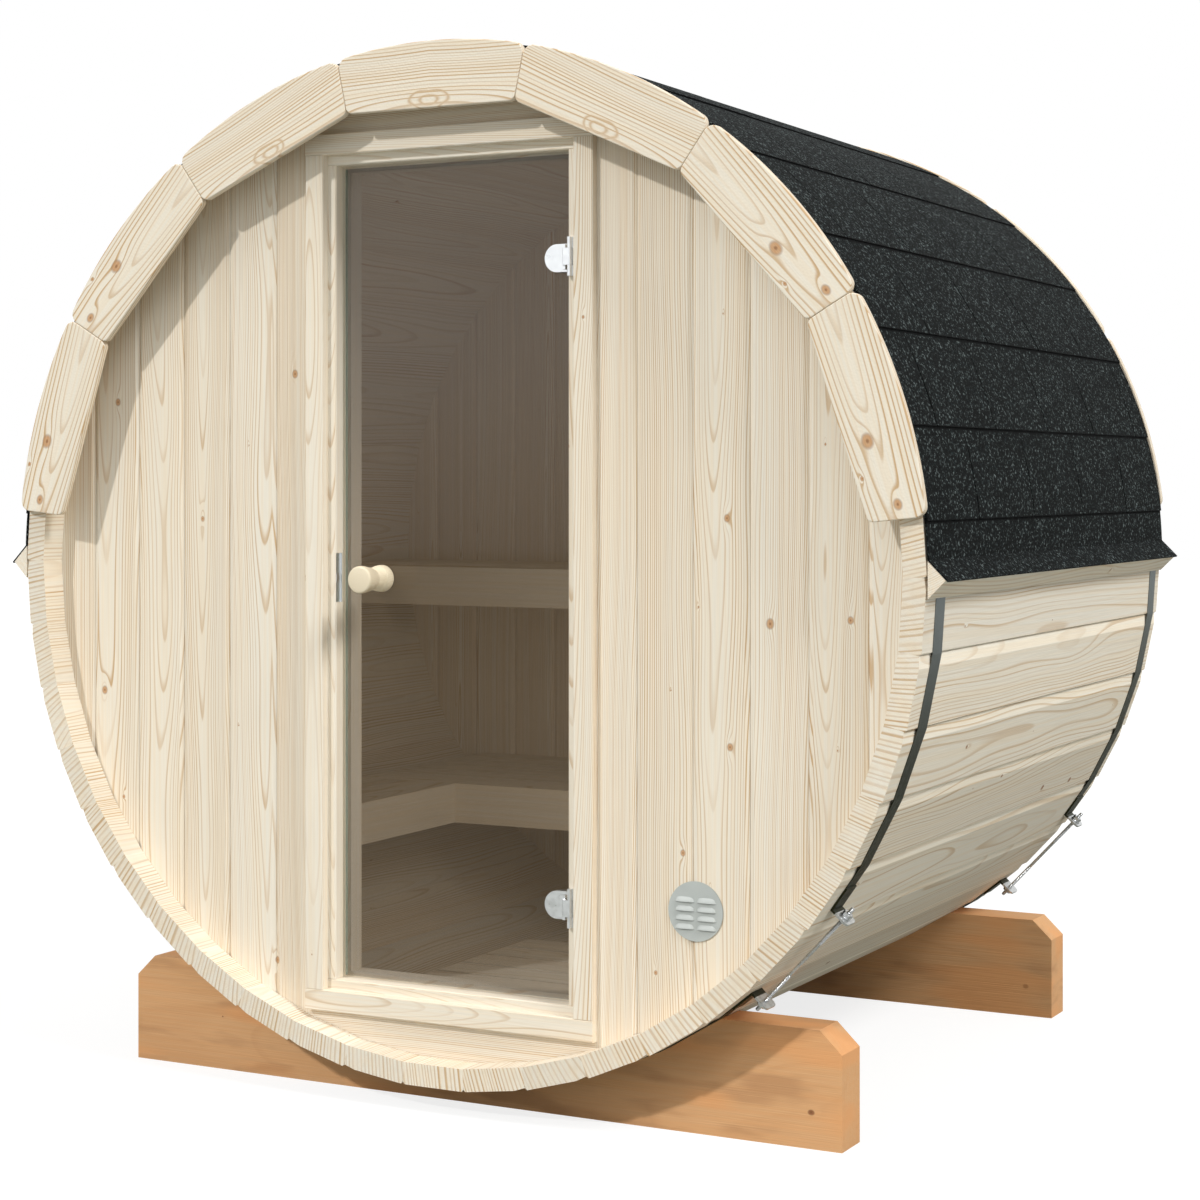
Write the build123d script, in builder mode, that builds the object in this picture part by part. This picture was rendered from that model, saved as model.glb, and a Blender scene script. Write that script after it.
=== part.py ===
from build123d import *
import os
from math import acos, asin, cos, degrees, radians, sin, sqrt, tan

# Barrel sauna: a horizontal barrel of staves on two cradle skids, closed by two board walls.
# Millimetres. +Z is up, the glass door faces -Y, and the origin is the middle of the
# rectangle that the whole object covers on the ground. "Angle" is measured round the
# barrel's axis from its lowest point towards the right side (+X), in degrees.

# Barrel of staves
barrel_radius = 975.0
barrel_length = 1500.0
stave_thickness = 42.0
stave_count = 46
staves_in_segments = (5, 5, 4, 5, 4, 5, 5, 4, 5, 4)
stave_joint_half_width = 3.0
stave_joint_depth = 3.5
segment_gap = 0.2
wood_under_barrel = 48.0

# Clearance between pieces that seat on each other, and round what moves
seat_gap = 0.3
running_gap = 5.0
latch_gap = 6.5

# End walls, set in a groove round the inside of the staves
wall_recess = 58.0
wall_thickness = 42.0
croze_depth = 9.0
board_width = 112.5
first_board_joint = 397.0
board_joint_half_width = 3.0
board_joint_depth = 4.0

# Door frame: casing, bead and stop step inwards towards the glass
door_half_width = 256.0
boards_over_frame = 96.0
boards_under_frame = 67.0
casing_width = 41.0
casing_proud = 17.0
bead_width = 19.0
bead_setback = 18.0
stop_width = 11.0
stop_depth = 37.0
edge_easing = 2.0

# Glass door
glass_thickness = 8.0
glass_setback = 23.0
hinge_below_top = 198.0
hinge_above_bottom = 180.0
hinge_plate_radius = 26.0
hinge_plate_reach = 55.0
hinge_plate_thickness = 4.0
hinge_arm_height = 46.0
hinge_arm_thickness = 6.0
hinge_leaf_height = 72.0
hinge_leaf_width = 16.0
hinge_leaf_thickness = 2.0
hinge_knuckle_radius = 4.5
hinge_middle_height = 32.0
hinge_pin_radius = 2.5
hinge_pin_clearance = 0.05
hinge_axis_outset = 6.0
hinge_bolt_radius = 3.0
hinge_bolt_distance = 26.0
hinge_bolt_inset = 30.0
bolt_hole_clearance = 0.5
knob_height = -25.0
knob_place = 162.0
knob_radius = 26.0
knob_reach = 86.0
knob_rim_width = 8.0
knob_rim_easing = 4.0
knob_waist_radius = 20.0
knob_waist_reach = 34.0
knob_waist_length = 14.0
knob_button_radius = 13.5
knob_button_thickness = 9.0
knob_screw_radius = 4.0
catch_height = 95.0
catch_width = 20.0
catch_thickness = 2.0
catch_block_height = 18.0
catch_block_width = 10.0
catch_lip_width = 1.5
catch_depth = 5.0

# Arched trim boards over the barrel's ends
fascia_count = 7
fascia_board_angle = 24.0
fascia_thickness = 15.0
fascia_overhang = 10.0
fascia_width = 125.0
fascia_outer_corner = 20.0
fascia_inner_corner = 14.0
fascia_gap = 0.8

# Eave battens and shingle roofing
batten_face = 64.0
batten_middle = -4.0
batten_slope_angle = 45.0
roofing_thickness = 3.0
course_lift = 3.0
lowest_course_angle = 84.4
course_exposure = 165.0
course_growth = 14.0
course_count = 6
eave_overhang = 3.0

# Steel bands and their screws
band_width = 45.0
band_thickness = 1.2
front_band_offset = 74.0
rear_band_offset = 55.0
lug_middle_angle = 46.7
lug_half_gap = 108.5
lug_thickness = 4.0
lug_beyond_screw = 16.0
lug_corner_radius = 10.0
bracket_length = 50.0
bracket_thickness = 3.0
screw_radius = 4.0
screw_standoff = 16.0
screw_hole_clearance = 0.5
screw_end = 12.0
washer_radius = 11.0
washer_thickness = 1.5
nut_across = 17.0
nut_thickness = 8.0

# Vent grille
vent_place = 517.0
vent_from_staves = 132.0
vent_radius = 54.0
vent_hole_radius = 44.0
vent_thickness = 2.0
louvre_width = 36.0
louvre_height = 10.0
louvre_reach = 6.0
louvre_sheet = 1.2
louvre_chords = 6
louvre_row_distance = 17.0
louvre_column_distance = 42.0
louvre_columns = 2
louvre_rows = 4

# Cradle skids
skid_length = 1554.0
skid_thickness = 84.0
skid_height = 213.0
skid_chamfer_length = 43.0
skid_chamfer_height = 41.0
front_skid_offset = 111.0
rear_skid_offset = 80.0

# Benches and duckboard
bench_board_thickness = 26.0
upper_bench_rise = 481.0
upper_bench_front = 955.0
lower_bench_above_floor = 411.0
lower_bench_front = 829.0
lower_bench_side = 450.0
bench_front_board = 88.0
bench_slat_width = 90.0
bench_slat_gap = 8.0
bench_bearer_width = 40.0
bench_bearer_height = 50.0
duckboard_above_floor = 102.0
duckboard_width = 390.0
duckboard_start = 146.0
duckboard_slat_count = 6
duckboard_slat_width = 86.0
duckboard_slat_gap = 10.0
duckboard_slat_thickness = 22.0
duckboard_runner_width = 40.0

os.makedirs("parts", exist_ok=True)

axis_height = barrel_radius + wood_under_barrel
front_end = -barrel_length / 2
rear_end = barrel_length / 2
stave_pitch = 360 / stave_count
half_pitch = stave_pitch / 2
outer_flat = barrel_radius * cos(radians(half_pitch))
inner_flat = outer_flat - stave_thickness
inner_corner = inner_flat / cos(radians(half_pitch))
croze_flat = inner_flat + croze_depth
wall_flat = croze_flat - seat_gap
wall_radius = wall_flat / cos(radians(half_pitch))
wall_face = front_end + wall_recess
wall_back = wall_face + wall_thickness
rear_wall_face = rear_end - wall_recess
rear_wall_back = rear_wall_face - wall_thickness


def end_plane(place):
    """Upright plane across the barrel, x to the right and y up from the barrel's axis."""
    return Plane(origin=(0, place, axis_height), x_dir=(1, 0, 0), z_dir=(0, -1, 0))


def ring_point(radius, angle):
    """Point in an end plane at a radius and an angle from the lowest point."""
    return (radius * sin(radians(angle)), -radius * cos(radians(angle)))


def round_off(sketch, corners, radius):
    """Round off two square corners of a sketch, the nearest or the farthest, in three chords each."""
    quarter = [radius * tan(radians(90 / part)) for part in (2, 4, 8)]
    for count, cut in ((2, quarter[0] - quarter[1]), (4, quarter[1] - quarter[2])):
        chamfer(corners(sketch.sketch_local.vertices(), count), length=cut)


def save(piece, name):
    """Label a finished piece and write its file."""
    piece.part.label = name
    export_step(piece.part, f"parts/{name}.step")


def outer_joint(angle, sides):
    """The V between two staves, as points on the sides of the joint that are asked for."""
    shoulder_step = degrees(stave_joint_half_width / barrel_radius)
    shoulder_radius = outer_flat / cos(radians(half_pitch - shoulder_step))
    points = []
    if -1 in sides:
        points.append(ring_point(shoulder_radius, angle - shoulder_step))
    if -1 in sides and 1 in sides:
        points.append(ring_point(barrel_radius - stave_joint_depth, angle))
    if 1 in sides:
        points.append(ring_point(shoulder_radius, angle + shoulder_step))
    return points


def segment_profile(first_angle, staves):
    """Outline of several staves side by side, flat inside and out, with a V at each joint."""
    edge_step = degrees(segment_gap / 2 / barrel_radius)
    last_angle = first_angle + staves * stave_pitch
    root = barrel_radius - stave_joint_depth
    outer = [ring_point(root, first_angle + edge_step)]
    outer += outer_joint(first_angle, (1,))
    for joint in range(1, staves):
        outer += outer_joint(first_angle + joint * stave_pitch, (-1, 1))
    outer += outer_joint(last_angle, (-1,))
    outer.append(ring_point(root, last_angle - edge_step))
    inner = [ring_point(inner_corner, last_angle - edge_step)]
    for joint in range(staves - 1, 0, -1):
        inner.append(ring_point(inner_corner, first_angle + joint * stave_pitch))
    inner.append(ring_point(inner_corner, first_angle + edge_step))
    return outer + inner


# Barrel staves, in segments that run the whole length
first_angle = -staves_in_segments[0] / 2 * stave_pitch
for number, staves in enumerate(staves_in_segments, start=1):
    with BuildPart() as segment:
        with BuildSketch(end_plane(front_end)):
            with BuildLine():
                Polyline(*segment_profile(first_angle, staves), close=True)
            make_face()
        extrude(amount=-barrel_length)
        for groove_start in (wall_face - seat_gap, rear_wall_back - seat_gap):
            with BuildSketch(end_plane(groove_start)):
                RegularPolygon(croze_flat, stave_count, major_radius=False)
            extrude(amount=-(wall_thickness + 2 * seat_gap), mode=Mode.SUBTRACT)
    save(segment, f"staves_{number:02d}")
    first_angle += staves * stave_pitch


def board_joints(face, inwards):
    """V grooves between upright boards, seen from above as triangles on a wall face."""
    with BuildSketch() as grooves:
        joint = first_board_joint % board_width
        while joint < wall_radius:
            for side in (-1, 1):
                with BuildLine():
                    Polyline(
                        (side * joint - board_joint_half_width, face),
                        (side * joint + board_joint_half_width, face),
                        (side * joint, face + inwards * board_joint_depth),
                        close=True,
                    )
                make_face()
            joint += board_width
    return grooves.sketch


groove_reach = axis_height + barrel_radius
vent_height = -sqrt((inner_flat - vent_from_staves) ** 2 - vent_place**2)
frame_width = bead_width + casing_width
frame_half_width = door_half_width + frame_width
frame_top = inner_flat - boards_over_frame
frame_bottom = boards_under_frame - inner_flat
door_top = frame_top - frame_width
door_bottom = frame_bottom + frame_width

# Front wall beside the door frame, with the vent's hole on the right
for name, side in (("front_wall_left", -1), ("front_wall_right", 1)):
    edge = Align.MAX if side < 0 else Align.MIN
    with BuildPart() as side_wall:
        with BuildSketch(end_plane(wall_face)):
            RegularPolygon(wall_flat, stave_count, major_radius=False)
            with Locations((side * (frame_half_width + seat_gap), 0)):
                Rectangle(wall_radius, 2 * wall_radius, align=(edge, Align.CENTER), mode=Mode.INTERSECT)
            if side > 0:
                with Locations((vent_place, vent_height)):
                    Circle(vent_hole_radius, mode=Mode.SUBTRACT)
        extrude(amount=-wall_thickness)
        extrude(board_joints(wall_face, 1), amount=groove_reach, mode=Mode.SUBTRACT)
        extrude(board_joints(wall_back, -1), amount=groove_reach, mode=Mode.SUBTRACT)
    save(side_wall, name)

# Level boards over and under the door frame
for name, level, edge in (
    ("wall_over_door", frame_top + seat_gap, Align.MIN),
    ("wall_under_door", frame_bottom - seat_gap, Align.MAX),
):
    with BuildPart() as infill:
        with BuildSketch(end_plane(wall_face)):
            RegularPolygon(wall_flat, stave_count, major_radius=False)
            with Locations((0, level)):
                Rectangle(
                    2 * frame_half_width, wall_radius, align=(Align.CENTER, edge), mode=Mode.INTERSECT
                )
        extrude(amount=-wall_thickness)
    save(infill, name)

# Rear wall in three leaves that meet at board joints
leaf_edge = first_board_joint - board_width
for name, middle, width in (
    ("rear_wall_left", -(leaf_edge + wall_radius) / 2, wall_radius - leaf_edge),
    ("rear_wall_middle", 0, 2 * leaf_edge),
    ("rear_wall_right", (leaf_edge + wall_radius) / 2, wall_radius - leaf_edge),
):
    with BuildPart() as rear_leaf:
        with BuildSketch(end_plane(rear_wall_back)):
            RegularPolygon(wall_flat, stave_count, major_radius=False)
            with Locations((middle, 0)):
                Rectangle(width - segment_gap, 2 * wall_radius, mode=Mode.INTERSECT)
        extrude(amount=-wall_thickness)
        extrude(board_joints(rear_wall_face, -1), amount=groove_reach, mode=Mode.SUBTRACT)
        extrude(board_joints(rear_wall_back, 1), amount=groove_reach, mode=Mode.SUBTRACT)
    save(rear_leaf, name)

# Door frame: one stepped section all round
casing_front = wall_face - casing_proud
bead_front = casing_front + bead_setback
glass_front = bead_front + glass_setback
glass_back = glass_front + glass_thickness
stop_front = glass_back + running_gap
frame_back = stop_front + stop_depth
rebate_steps = (
    (0, stop_front),
    (-stop_width, stop_front),
    (-stop_width, frame_back),
    (frame_width, frame_back),
)
square_steps = (
    (frame_width, casing_front),
    (bead_width, casing_front),
    (bead_width, bead_front),
    (0, bead_front),
) + rebate_steps
eased_steps = (
    (frame_width, casing_front + edge_easing),
    (frame_width - edge_easing, casing_front),
    (bead_width + edge_easing, casing_front),
    (bead_width, casing_front + edge_easing),
    (bead_width, bead_front),
    (edge_easing, bead_front),
    (0, bead_front + edge_easing),
) + rebate_steps


def rail_profile(steps, level, upwards):
    """Stepped section of the head or the sill, seen from the side."""
    with BuildSketch(Plane.YZ.offset(-frame_half_width)) as rail:
        with BuildLine():
            Polyline(*[(place, axis_height + level + upwards * step) for step, place in steps], close=True)
        make_face()
    return rail.sketch


for name, level, upwards in (("door_head", door_top, 1), ("door_sill", door_bottom, -1)):
    with BuildPart() as rail:
        extrude(rail_profile(eased_steps, level, upwards), amount=2 * frame_half_width)
    save(rail, name)

catch_middle = (-door_half_width, (bead_front + glass_front) / 2, axis_height + knob_height)
for name, side in (("door_jamb_left", -1), ("door_jamb_right", 1)):
    with BuildPart() as jamb:
        with BuildSketch(Plane.XY.offset(axis_height + frame_bottom)):
            with BuildLine():
                Polyline(
                    *[(side * (door_half_width + step), place) for step, place in eased_steps],
                    close=True,
                )
            make_face()
        extrude(amount=frame_top - frame_bottom)
        for level, upwards in ((door_top, 1), (door_bottom, -1)):
            cut = rail_profile(square_steps, level, upwards)
            extrude(cut, amount=2 * frame_half_width, mode=Mode.SUBTRACT)
        if side < 0:
            with Locations(catch_middle):
                Box(
                    2 * (catch_depth + seat_gap),
                    catch_width + 2 * seat_gap,
                    catch_height + 2 * seat_gap,
                    mode=Mode.SUBTRACT,
                )
    save(jamb, name)

# Catch let into the left jamb: a plate with a block in front and a lip behind
with BuildPart() as catch:
    with Locations(catch_middle):
        with Locations((-catch_depth, 0, 0)):
            Box(catch_thickness, catch_width, catch_height, align=(Align.MIN, Align.CENTER, Align.CENTER))
        with Locations((0, catch_width / 2, 0)):
            Box(catch_depth, catch_lip_width, catch_height, align=(Align.MAX, Align.MAX, Align.CENTER))
        with Locations((0, -catch_width / 2, 0)):
            Box(
                catch_depth,
                catch_block_width,
                catch_block_height,
                align=(Align.MAX, Align.MIN, Align.CENTER),
            )
save(catch, "door_catch")

# Glass pane with holes for the hinge bolts and the knob's screw
glass_half_width = door_half_width - running_gap
glass_middle = (glass_front + glass_back) / 2
hinge_levels = (door_top - hinge_below_top, door_bottom + hinge_above_bottom)
bolt_place = glass_half_width - hinge_bolt_inset
with BuildPart() as door_glass:
    with BuildSketch(end_plane(glass_front)):
        with Locations((glass_half_width, door_bottom + running_gap)):
            Rectangle(
                glass_half_width + door_half_width - latch_gap,
                door_top - door_bottom - 2 * running_gap,
                align=(Align.MAX, Align.MIN),
            )
        for level in hinge_levels:
            with Locations((bolt_place, level)):
                with GridLocations(hinge_bolt_distance, hinge_bolt_distance, 1, 2):
                    Circle(hinge_bolt_radius + bolt_hole_clearance, mode=Mode.SUBTRACT)
        with Locations((-knob_place, knob_height)):
            Circle(knob_screw_radius + bolt_hole_clearance, mode=Mode.SUBTRACT)
    extrude(amount=-glass_thickness)
save(door_glass, "door_glass")

# Turned knob: a waisted spool outside the glass, screwed to a small button inside it
knob_foot = (-knob_place, glass_front - seat_gap, axis_height + knob_height)
with BuildPart() as knob:
    with BuildSketch(Plane(origin=knob_foot, z_dir=(0, 0, 1))):
        with BuildLine():
            Polyline(
                (0, 0),
                (knob_radius, 0),
                (knob_radius, -knob_rim_width),
                (knob_waist_radius, -(knob_waist_reach - knob_waist_length / 2)),
                (knob_waist_radius, -(knob_waist_reach + knob_waist_length / 2)),
                (knob_radius, -(knob_reach - knob_rim_width)),
                (knob_radius, -(knob_reach - knob_rim_easing)),
                (knob_radius - knob_rim_easing, -knob_reach),
                (0, -knob_reach),
                close=True,
            )
        make_face()
        button_seat = glass_thickness + 2 * seat_gap
        Rectangle(knob_screw_radius, button_seat, align=(Align.MIN, Align.MIN))
        with Locations((0, button_seat)):
            Rectangle(knob_button_radius, knob_button_thickness, align=(Align.MIN, Align.MIN))
    revolve(axis=Axis(knob_foot, (0, 1, 0)))
save(knob, "door_knob")

# Hinges: half-round clamp plates on the glass, and leaves with a pin on the right jamb
hinge_x = door_half_width + hinge_axis_outset
hinge_y = bead_front - hinge_leaf_thickness - seat_gap - hinge_knuckle_radius
plate_front = glass_front - seat_gap - hinge_plate_thickness
tongue_back = hinge_y + hinge_knuckle_radius - seat_gap
tongue_front = hinge_y - hinge_knuckle_radius


def hinge_block(level, height):
    """Level plane across a hinge pin, at the foot of a length centred on a level."""
    return Plane.XY.offset(axis_height + level - height / 2)


def clamp_plate(near, level):
    """Half-round plate against one face of the glass."""
    with BuildSketch(end_plane(near)) as plate:
        with Locations((glass_half_width - hinge_plate_reach + hinge_plate_radius, level)):
            Circle(hinge_plate_radius)
            Rectangle(
                hinge_plate_reach - hinge_plate_radius,
                2 * hinge_plate_radius,
                align=(Align.MIN, Align.CENTER),
            )
    return plate.sketch


with BuildPart() as door_hinges:
    for level in hinge_levels:
        for near in (plate_front, glass_back + seat_gap):
            extrude(clamp_plate(near, level), amount=-hinge_plate_thickness)
        with BuildSketch(end_plane(glass_front - seat_gap)):
            with Locations((bolt_place, level)):
                with GridLocations(hinge_bolt_distance, hinge_bolt_distance, 1, 2):
                    Circle(hinge_bolt_radius)
        extrude(amount=-(glass_thickness + 2 * seat_gap))
        # Arm that steps forward past the bead
        with BuildSketch(hinge_block(level, hinge_arm_height)):
            with Locations((glass_half_width, plate_front)):
                Rectangle(hinge_arm_thickness, plate_front - tongue_back, align=(Align.MAX, Align.MAX))
        extrude(amount=hinge_arm_height)
        # Middle knuckle and the tongue that carries it
        tongue_height = hinge_middle_height - 2 * seat_gap
        with BuildSketch(hinge_block(level, tongue_height)):
            with BuildLine():
                Polyline(
                    (glass_half_width, tongue_back),
                    (hinge_x, tongue_back),
                    (hinge_x, tongue_front),
                    (glass_half_width, tongue_front),
                    (glass_half_width - hinge_arm_thickness, tongue_back),
                    close=True,
                )
            make_face()
            with Locations((hinge_x, hinge_y)):
                Circle(hinge_knuckle_radius)
                Circle(hinge_pin_radius + hinge_pin_clearance, mode=Mode.SUBTRACT)
        extrude(amount=tongue_height)
save(door_hinges, "door_hinges")

knuckle_height = (hinge_leaf_height - hinge_middle_height) / 2
with BuildPart() as jamb_hinges:
    for level in hinge_levels:
        with BuildSketch(hinge_block(level, hinge_leaf_height)):
            with Locations((door_half_width + edge_easing, bead_front - seat_gap)):
                Rectangle(hinge_leaf_width, hinge_leaf_thickness, align=(Align.MIN, Align.MAX))
        extrude(amount=hinge_leaf_height)
        for side in (-1, 1):
            middle = level + side * (hinge_middle_height + knuckle_height) / 2
            with BuildSketch(hinge_block(middle, knuckle_height)):
                with Locations((hinge_x, hinge_y)):
                    Circle(hinge_knuckle_radius)
                    Rectangle(
                        hinge_knuckle_radius,
                        hinge_knuckle_radius + hinge_leaf_thickness,
                        align=(Align.MIN, Align.MIN),
                    )
            extrude(amount=knuckle_height)
        with BuildSketch(hinge_block(level, hinge_leaf_height)):
            with Locations((hinge_x, hinge_y)):
                Circle(hinge_pin_radius)
        extrude(amount=hinge_leaf_height)
save(jamb_hinges, "jamb_hinges")

# Trim boards, seven at each end of the barrel
fascia_outer_radius = barrel_radius + fascia_overhang
fascia_inner_distance = fascia_outer_radius - fascia_width


def fascia_board(middle_angle):
    """Trim board with an arched outer edge, a straight inner edge and rounded corners."""
    half_step = fascia_board_angle / 2
    edge_step = degrees(fascia_gap / 2 / fascia_outer_radius)
    low = middle_angle - half_step + edge_step
    high = middle_angle + half_step - edge_step
    inner = fascia_inner_distance / cos(radians(half_step))
    with BuildSketch(end_plane(0)) as board:
        with BuildLine():
            ThreePointArc(
                ring_point(fascia_outer_radius, low),
                ring_point(fascia_outer_radius, middle_angle),
                ring_point(fascia_outer_radius, high),
            )
            Polyline(
                ring_point(fascia_outer_radius, high),
                ring_point(inner, high),
                ring_point(inner, low),
                ring_point(fascia_outer_radius, low),
            )
        make_face()
        round_off(board, lambda ends, count: ends.sort_by_distance((0, 0))[:count], fascia_inner_corner)
        round_off(board, lambda ends, count: ends.sort_by_distance((0, 0))[-count:], fascia_outer_corner)
    return board.sketch


for name, place in (("front_fascia", front_end - seat_gap), ("rear_fascia", rear_end + seat_gap)):
    outwards = 1 if place < 0 else -1
    with BuildPart() as fascia:
        for board in range(fascia_count):
            middle_angle = 180 + (board - (fascia_count - 1) / 2) * fascia_board_angle
            with Locations((0, place, 0)):
                add(extrude(fascia_board(middle_angle), amount=outwards * fascia_thickness, mode=Mode.PRIVATE))
    save(fascia, name)

# Eave battens: three-sided rails along the widest line of the barrel
band_inner_flat = outer_flat + seat_gap
band_outer_flat = band_inner_flat + band_thickness
batten_back = band_outer_flat / cos(radians(half_pitch)) + seat_gap
batten_top = batten_middle + batten_face / 2
batten_projection = batten_face / 2
for name, side in (("eave_batten_left", -1), ("eave_batten_right", 1)):
    with BuildPart() as batten:
        with BuildSketch(end_plane(front_end)):
            with BuildLine():
                Polyline(
                    (side * batten_back, batten_top),
                    (side * (batten_back + batten_projection), batten_middle),
                    (side * batten_back, batten_top - batten_face),
                    close=True,
                )
            make_face()
        extrude(amount=-barrel_length)
    save(batten, name)

# Roofing: overlapping courses, each a little thicker towards its lower edge
roof_inner = batten_back
roof_outer = roof_inner + roofing_thickness
slope_rise = sin(radians(batten_slope_angle))
slope_inner = batten_back + batten_top + seat_gap / slope_rise
slope_outer = slope_inner + roofing_thickness / slope_rise


def slope_angle(radius, total):
    """Angle from the top where a circle meets the batten's slope, on which x + z is the total."""
    return batten_slope_angle + degrees(acos(total * slope_rise / radius))


def roof_point(side, radius, angle):
    """Point at a radius and an angle from the top of the barrel, on one side."""
    return (side * radius * sin(radians(angle)), radius * cos(radians(angle)))


def course_edges():
    """Angles from the top of the lower edges of the courses, from the eave to the ridge."""
    edges = [lowest_course_angle]
    for course in range(course_count):
        edges.append(edges[-1] - degrees((course_exposure + course * course_growth) / barrel_radius))
    return edges


for name, side in (("roofing_left", -1), ("roofing_right", 1)):
    with BuildPart() as roofing:
        with BuildSketch(end_plane(front_end)):
            with BuildLine():
                ridge = degrees(segment_gap / 2 / roof_inner)
                inner_bend = slope_angle(roof_inner, slope_inner)
                outer_bend = slope_angle(roof_outer, slope_outer)
                tip = batten_back + batten_projection + eave_overhang
                tip_outer = tip + roofing_thickness * slope_rise
                ThreePointArc(
                    roof_point(side, roof_inner, ridge),
                    roof_point(side, roof_inner, inner_bend / 2),
                    roof_point(side, roof_inner, inner_bend),
                )
                Polyline(
                    roof_point(side, roof_inner, inner_bend),
                    (side * tip, slope_inner - tip),
                    (side * tip_outer, slope_outer - tip_outer),
                    roof_point(side, roof_outer, outer_bend),
                )
                upper = outer_bend
                for edge in course_edges() + [ridge]:
                    lower_radius = roof_outer if upper == outer_bend else roof_outer + course_lift
                    ThreePointArc(
                        roof_point(side, lower_radius, upper),
                        roof_point(side, (lower_radius + roof_outer) / 2, (upper + edge) / 2),
                        roof_point(side, roof_outer, edge),
                    )
                    next_radius = roof_inner if edge == ridge else roof_outer + course_lift
                    Line(roof_point(side, roof_outer, edge), roof_point(side, next_radius, edge))
                    upper = edge
            make_face()
        extrude(amount=-barrel_length)
    save(roofing, name)

# Steel bands, pulled flat over the staves, with a bracket and an upturned lug at each end
band_places = (("front", front_end + front_band_offset), ("rear", rear_end - rear_band_offset))
screw_distance = barrel_radius + screw_standoff


def screw_point(distance, along):
    """Point beside the screw: its distance out from the axis, and its place along the screw."""
    across = ring_point(1, lug_middle_angle)
    return (distance * across[0] - along * across[1], distance * across[1] + along * across[0])


def flat_distance(depth, along, flat_angle):
    """How far out the flat at an angle lies, a depth outside the axis, at a place along the screw."""
    lean = radians(flat_angle - lug_middle_angle)
    return (depth - along * sin(lean)) / cos(lean)


across = ring_point(1, lug_middle_angle)
outwards = (across[0], 0, across[1])
along = (-across[1], 0, across[0])
for name, place in band_places:
    with BuildPart() as band:
        with BuildSketch(end_plane(place - band_width / 2)):
            RegularPolygon(band_outer_flat, stave_count, major_radius=False)
            RegularPolygon(band_inner_flat, stave_count, major_radius=False, mode=Mode.SUBTRACT)
            with BuildLine():
                Polyline(
                    screw_point(0, -lug_half_gap),
                    screw_point(2 * barrel_radius, -lug_half_gap),
                    screw_point(2 * barrel_radius, lug_half_gap),
                    screw_point(0, lug_half_gap),
                    close=True,
                )
            make_face(mode=Mode.SUBTRACT)
            for side in (-1, 1):
                lug_angle = lug_middle_angle + side * degrees(asin(lug_half_gap / screw_distance))
                flat_angle = round(lug_angle / stave_pitch) * stave_pitch
                near = side * lug_half_gap
                far = side * (lug_half_gap + bracket_length)
                outside = band_outer_flat + bracket_thickness
                with BuildLine():
                    Polyline(
                        screw_point(flat_distance(band_inner_flat, near, flat_angle), near),
                        screw_point(flat_distance(outside, near, flat_angle), near),
                        screw_point(flat_distance(outside, far, flat_angle), far),
                        screw_point(flat_distance(band_inner_flat, far, flat_angle), far),
                        close=True,
                    )
                make_face()
        extrude(amount=-band_width)
        for side in (-1, 1):
            lug_angle = lug_middle_angle + side * degrees(asin(lug_half_gap / screw_distance))
            flat_angle = round(lug_angle / stave_pitch) * stave_pitch
            lug_foot = flat_distance(band_outer_flat, side * lug_half_gap, flat_angle)
            x, z = screw_point(lug_foot, side * lug_half_gap)
            lug_face = Plane(
                origin=(x, place, axis_height + z), x_dir=outwards, z_dir=[side * part for part in along]
            )
            with BuildSketch(lug_face) as lug:
                lug_height = screw_distance + lug_beyond_screw - lug_foot
                Rectangle(lug_height, band_width, align=(Align.MIN, Align.CENTER))
                round_off(lug, lambda ends, count: ends.sort_by(Axis.X)[-count:], lug_corner_radius)
                with Locations((screw_distance - lug_foot, 0)):
                    Circle(screw_radius + screw_hole_clearance, mode=Mode.SUBTRACT)
            extrude(amount=lug_thickness)
    save(band, f"{name}_band")

    # Stud through both lugs, with a washer and a nut at each end
    x, z = screw_point(screw_distance, 0)
    stud_plane = Plane(origin=(x, place, axis_height + z), x_dir=(0, 1, 0), z_dir=along)
    washer_seat = lug_half_gap + lug_thickness + seat_gap
    nut_seat = washer_seat + washer_thickness
    with BuildPart() as tensioner:
        with BuildSketch(stud_plane):
            Circle(screw_radius)
        extrude(amount=nut_seat + nut_thickness + screw_end, both=True)
        for side in (-1, 1):
            with BuildSketch(stud_plane.offset(side * washer_seat)):
                Circle(washer_radius)
            extrude(amount=side * washer_thickness)
            with BuildSketch(stud_plane.offset(side * nut_seat)):
                RegularPolygon(nut_across / 2, 6, major_radius=False)
            extrude(amount=side * nut_thickness)
    save(tensioner, f"{name}_tensioner")

# Round vent grille with two columns of pressed louvres, open at their lower edges
def louvre(width, height, reach, place):
    """Pressed hood: arched seen from the front, and leaning out towards its lower edge."""
    arch = [radians(180 * chord / louvre_chords) for chord in range(louvre_chords + 1)]
    with BuildPart(mode=Mode.PRIVATE) as hood:
        with BuildSketch(end_plane(place)):
            with BuildLine():
                Polyline(*[(width / 2 * cos(turn), height * sin(turn)) for turn in arch], close=True)
            make_face()
        extrude(amount=reach)
        with BuildSketch(Plane.YZ.offset(-width / 2)):
            with BuildLine():
                Polyline(
                    (place, axis_height),
                    (place - reach, axis_height),
                    (place, axis_height + height),
                    close=True,
                )
            make_face()
        extrude(amount=width, mode=Mode.INTERSECT)
    return hood.part


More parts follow.
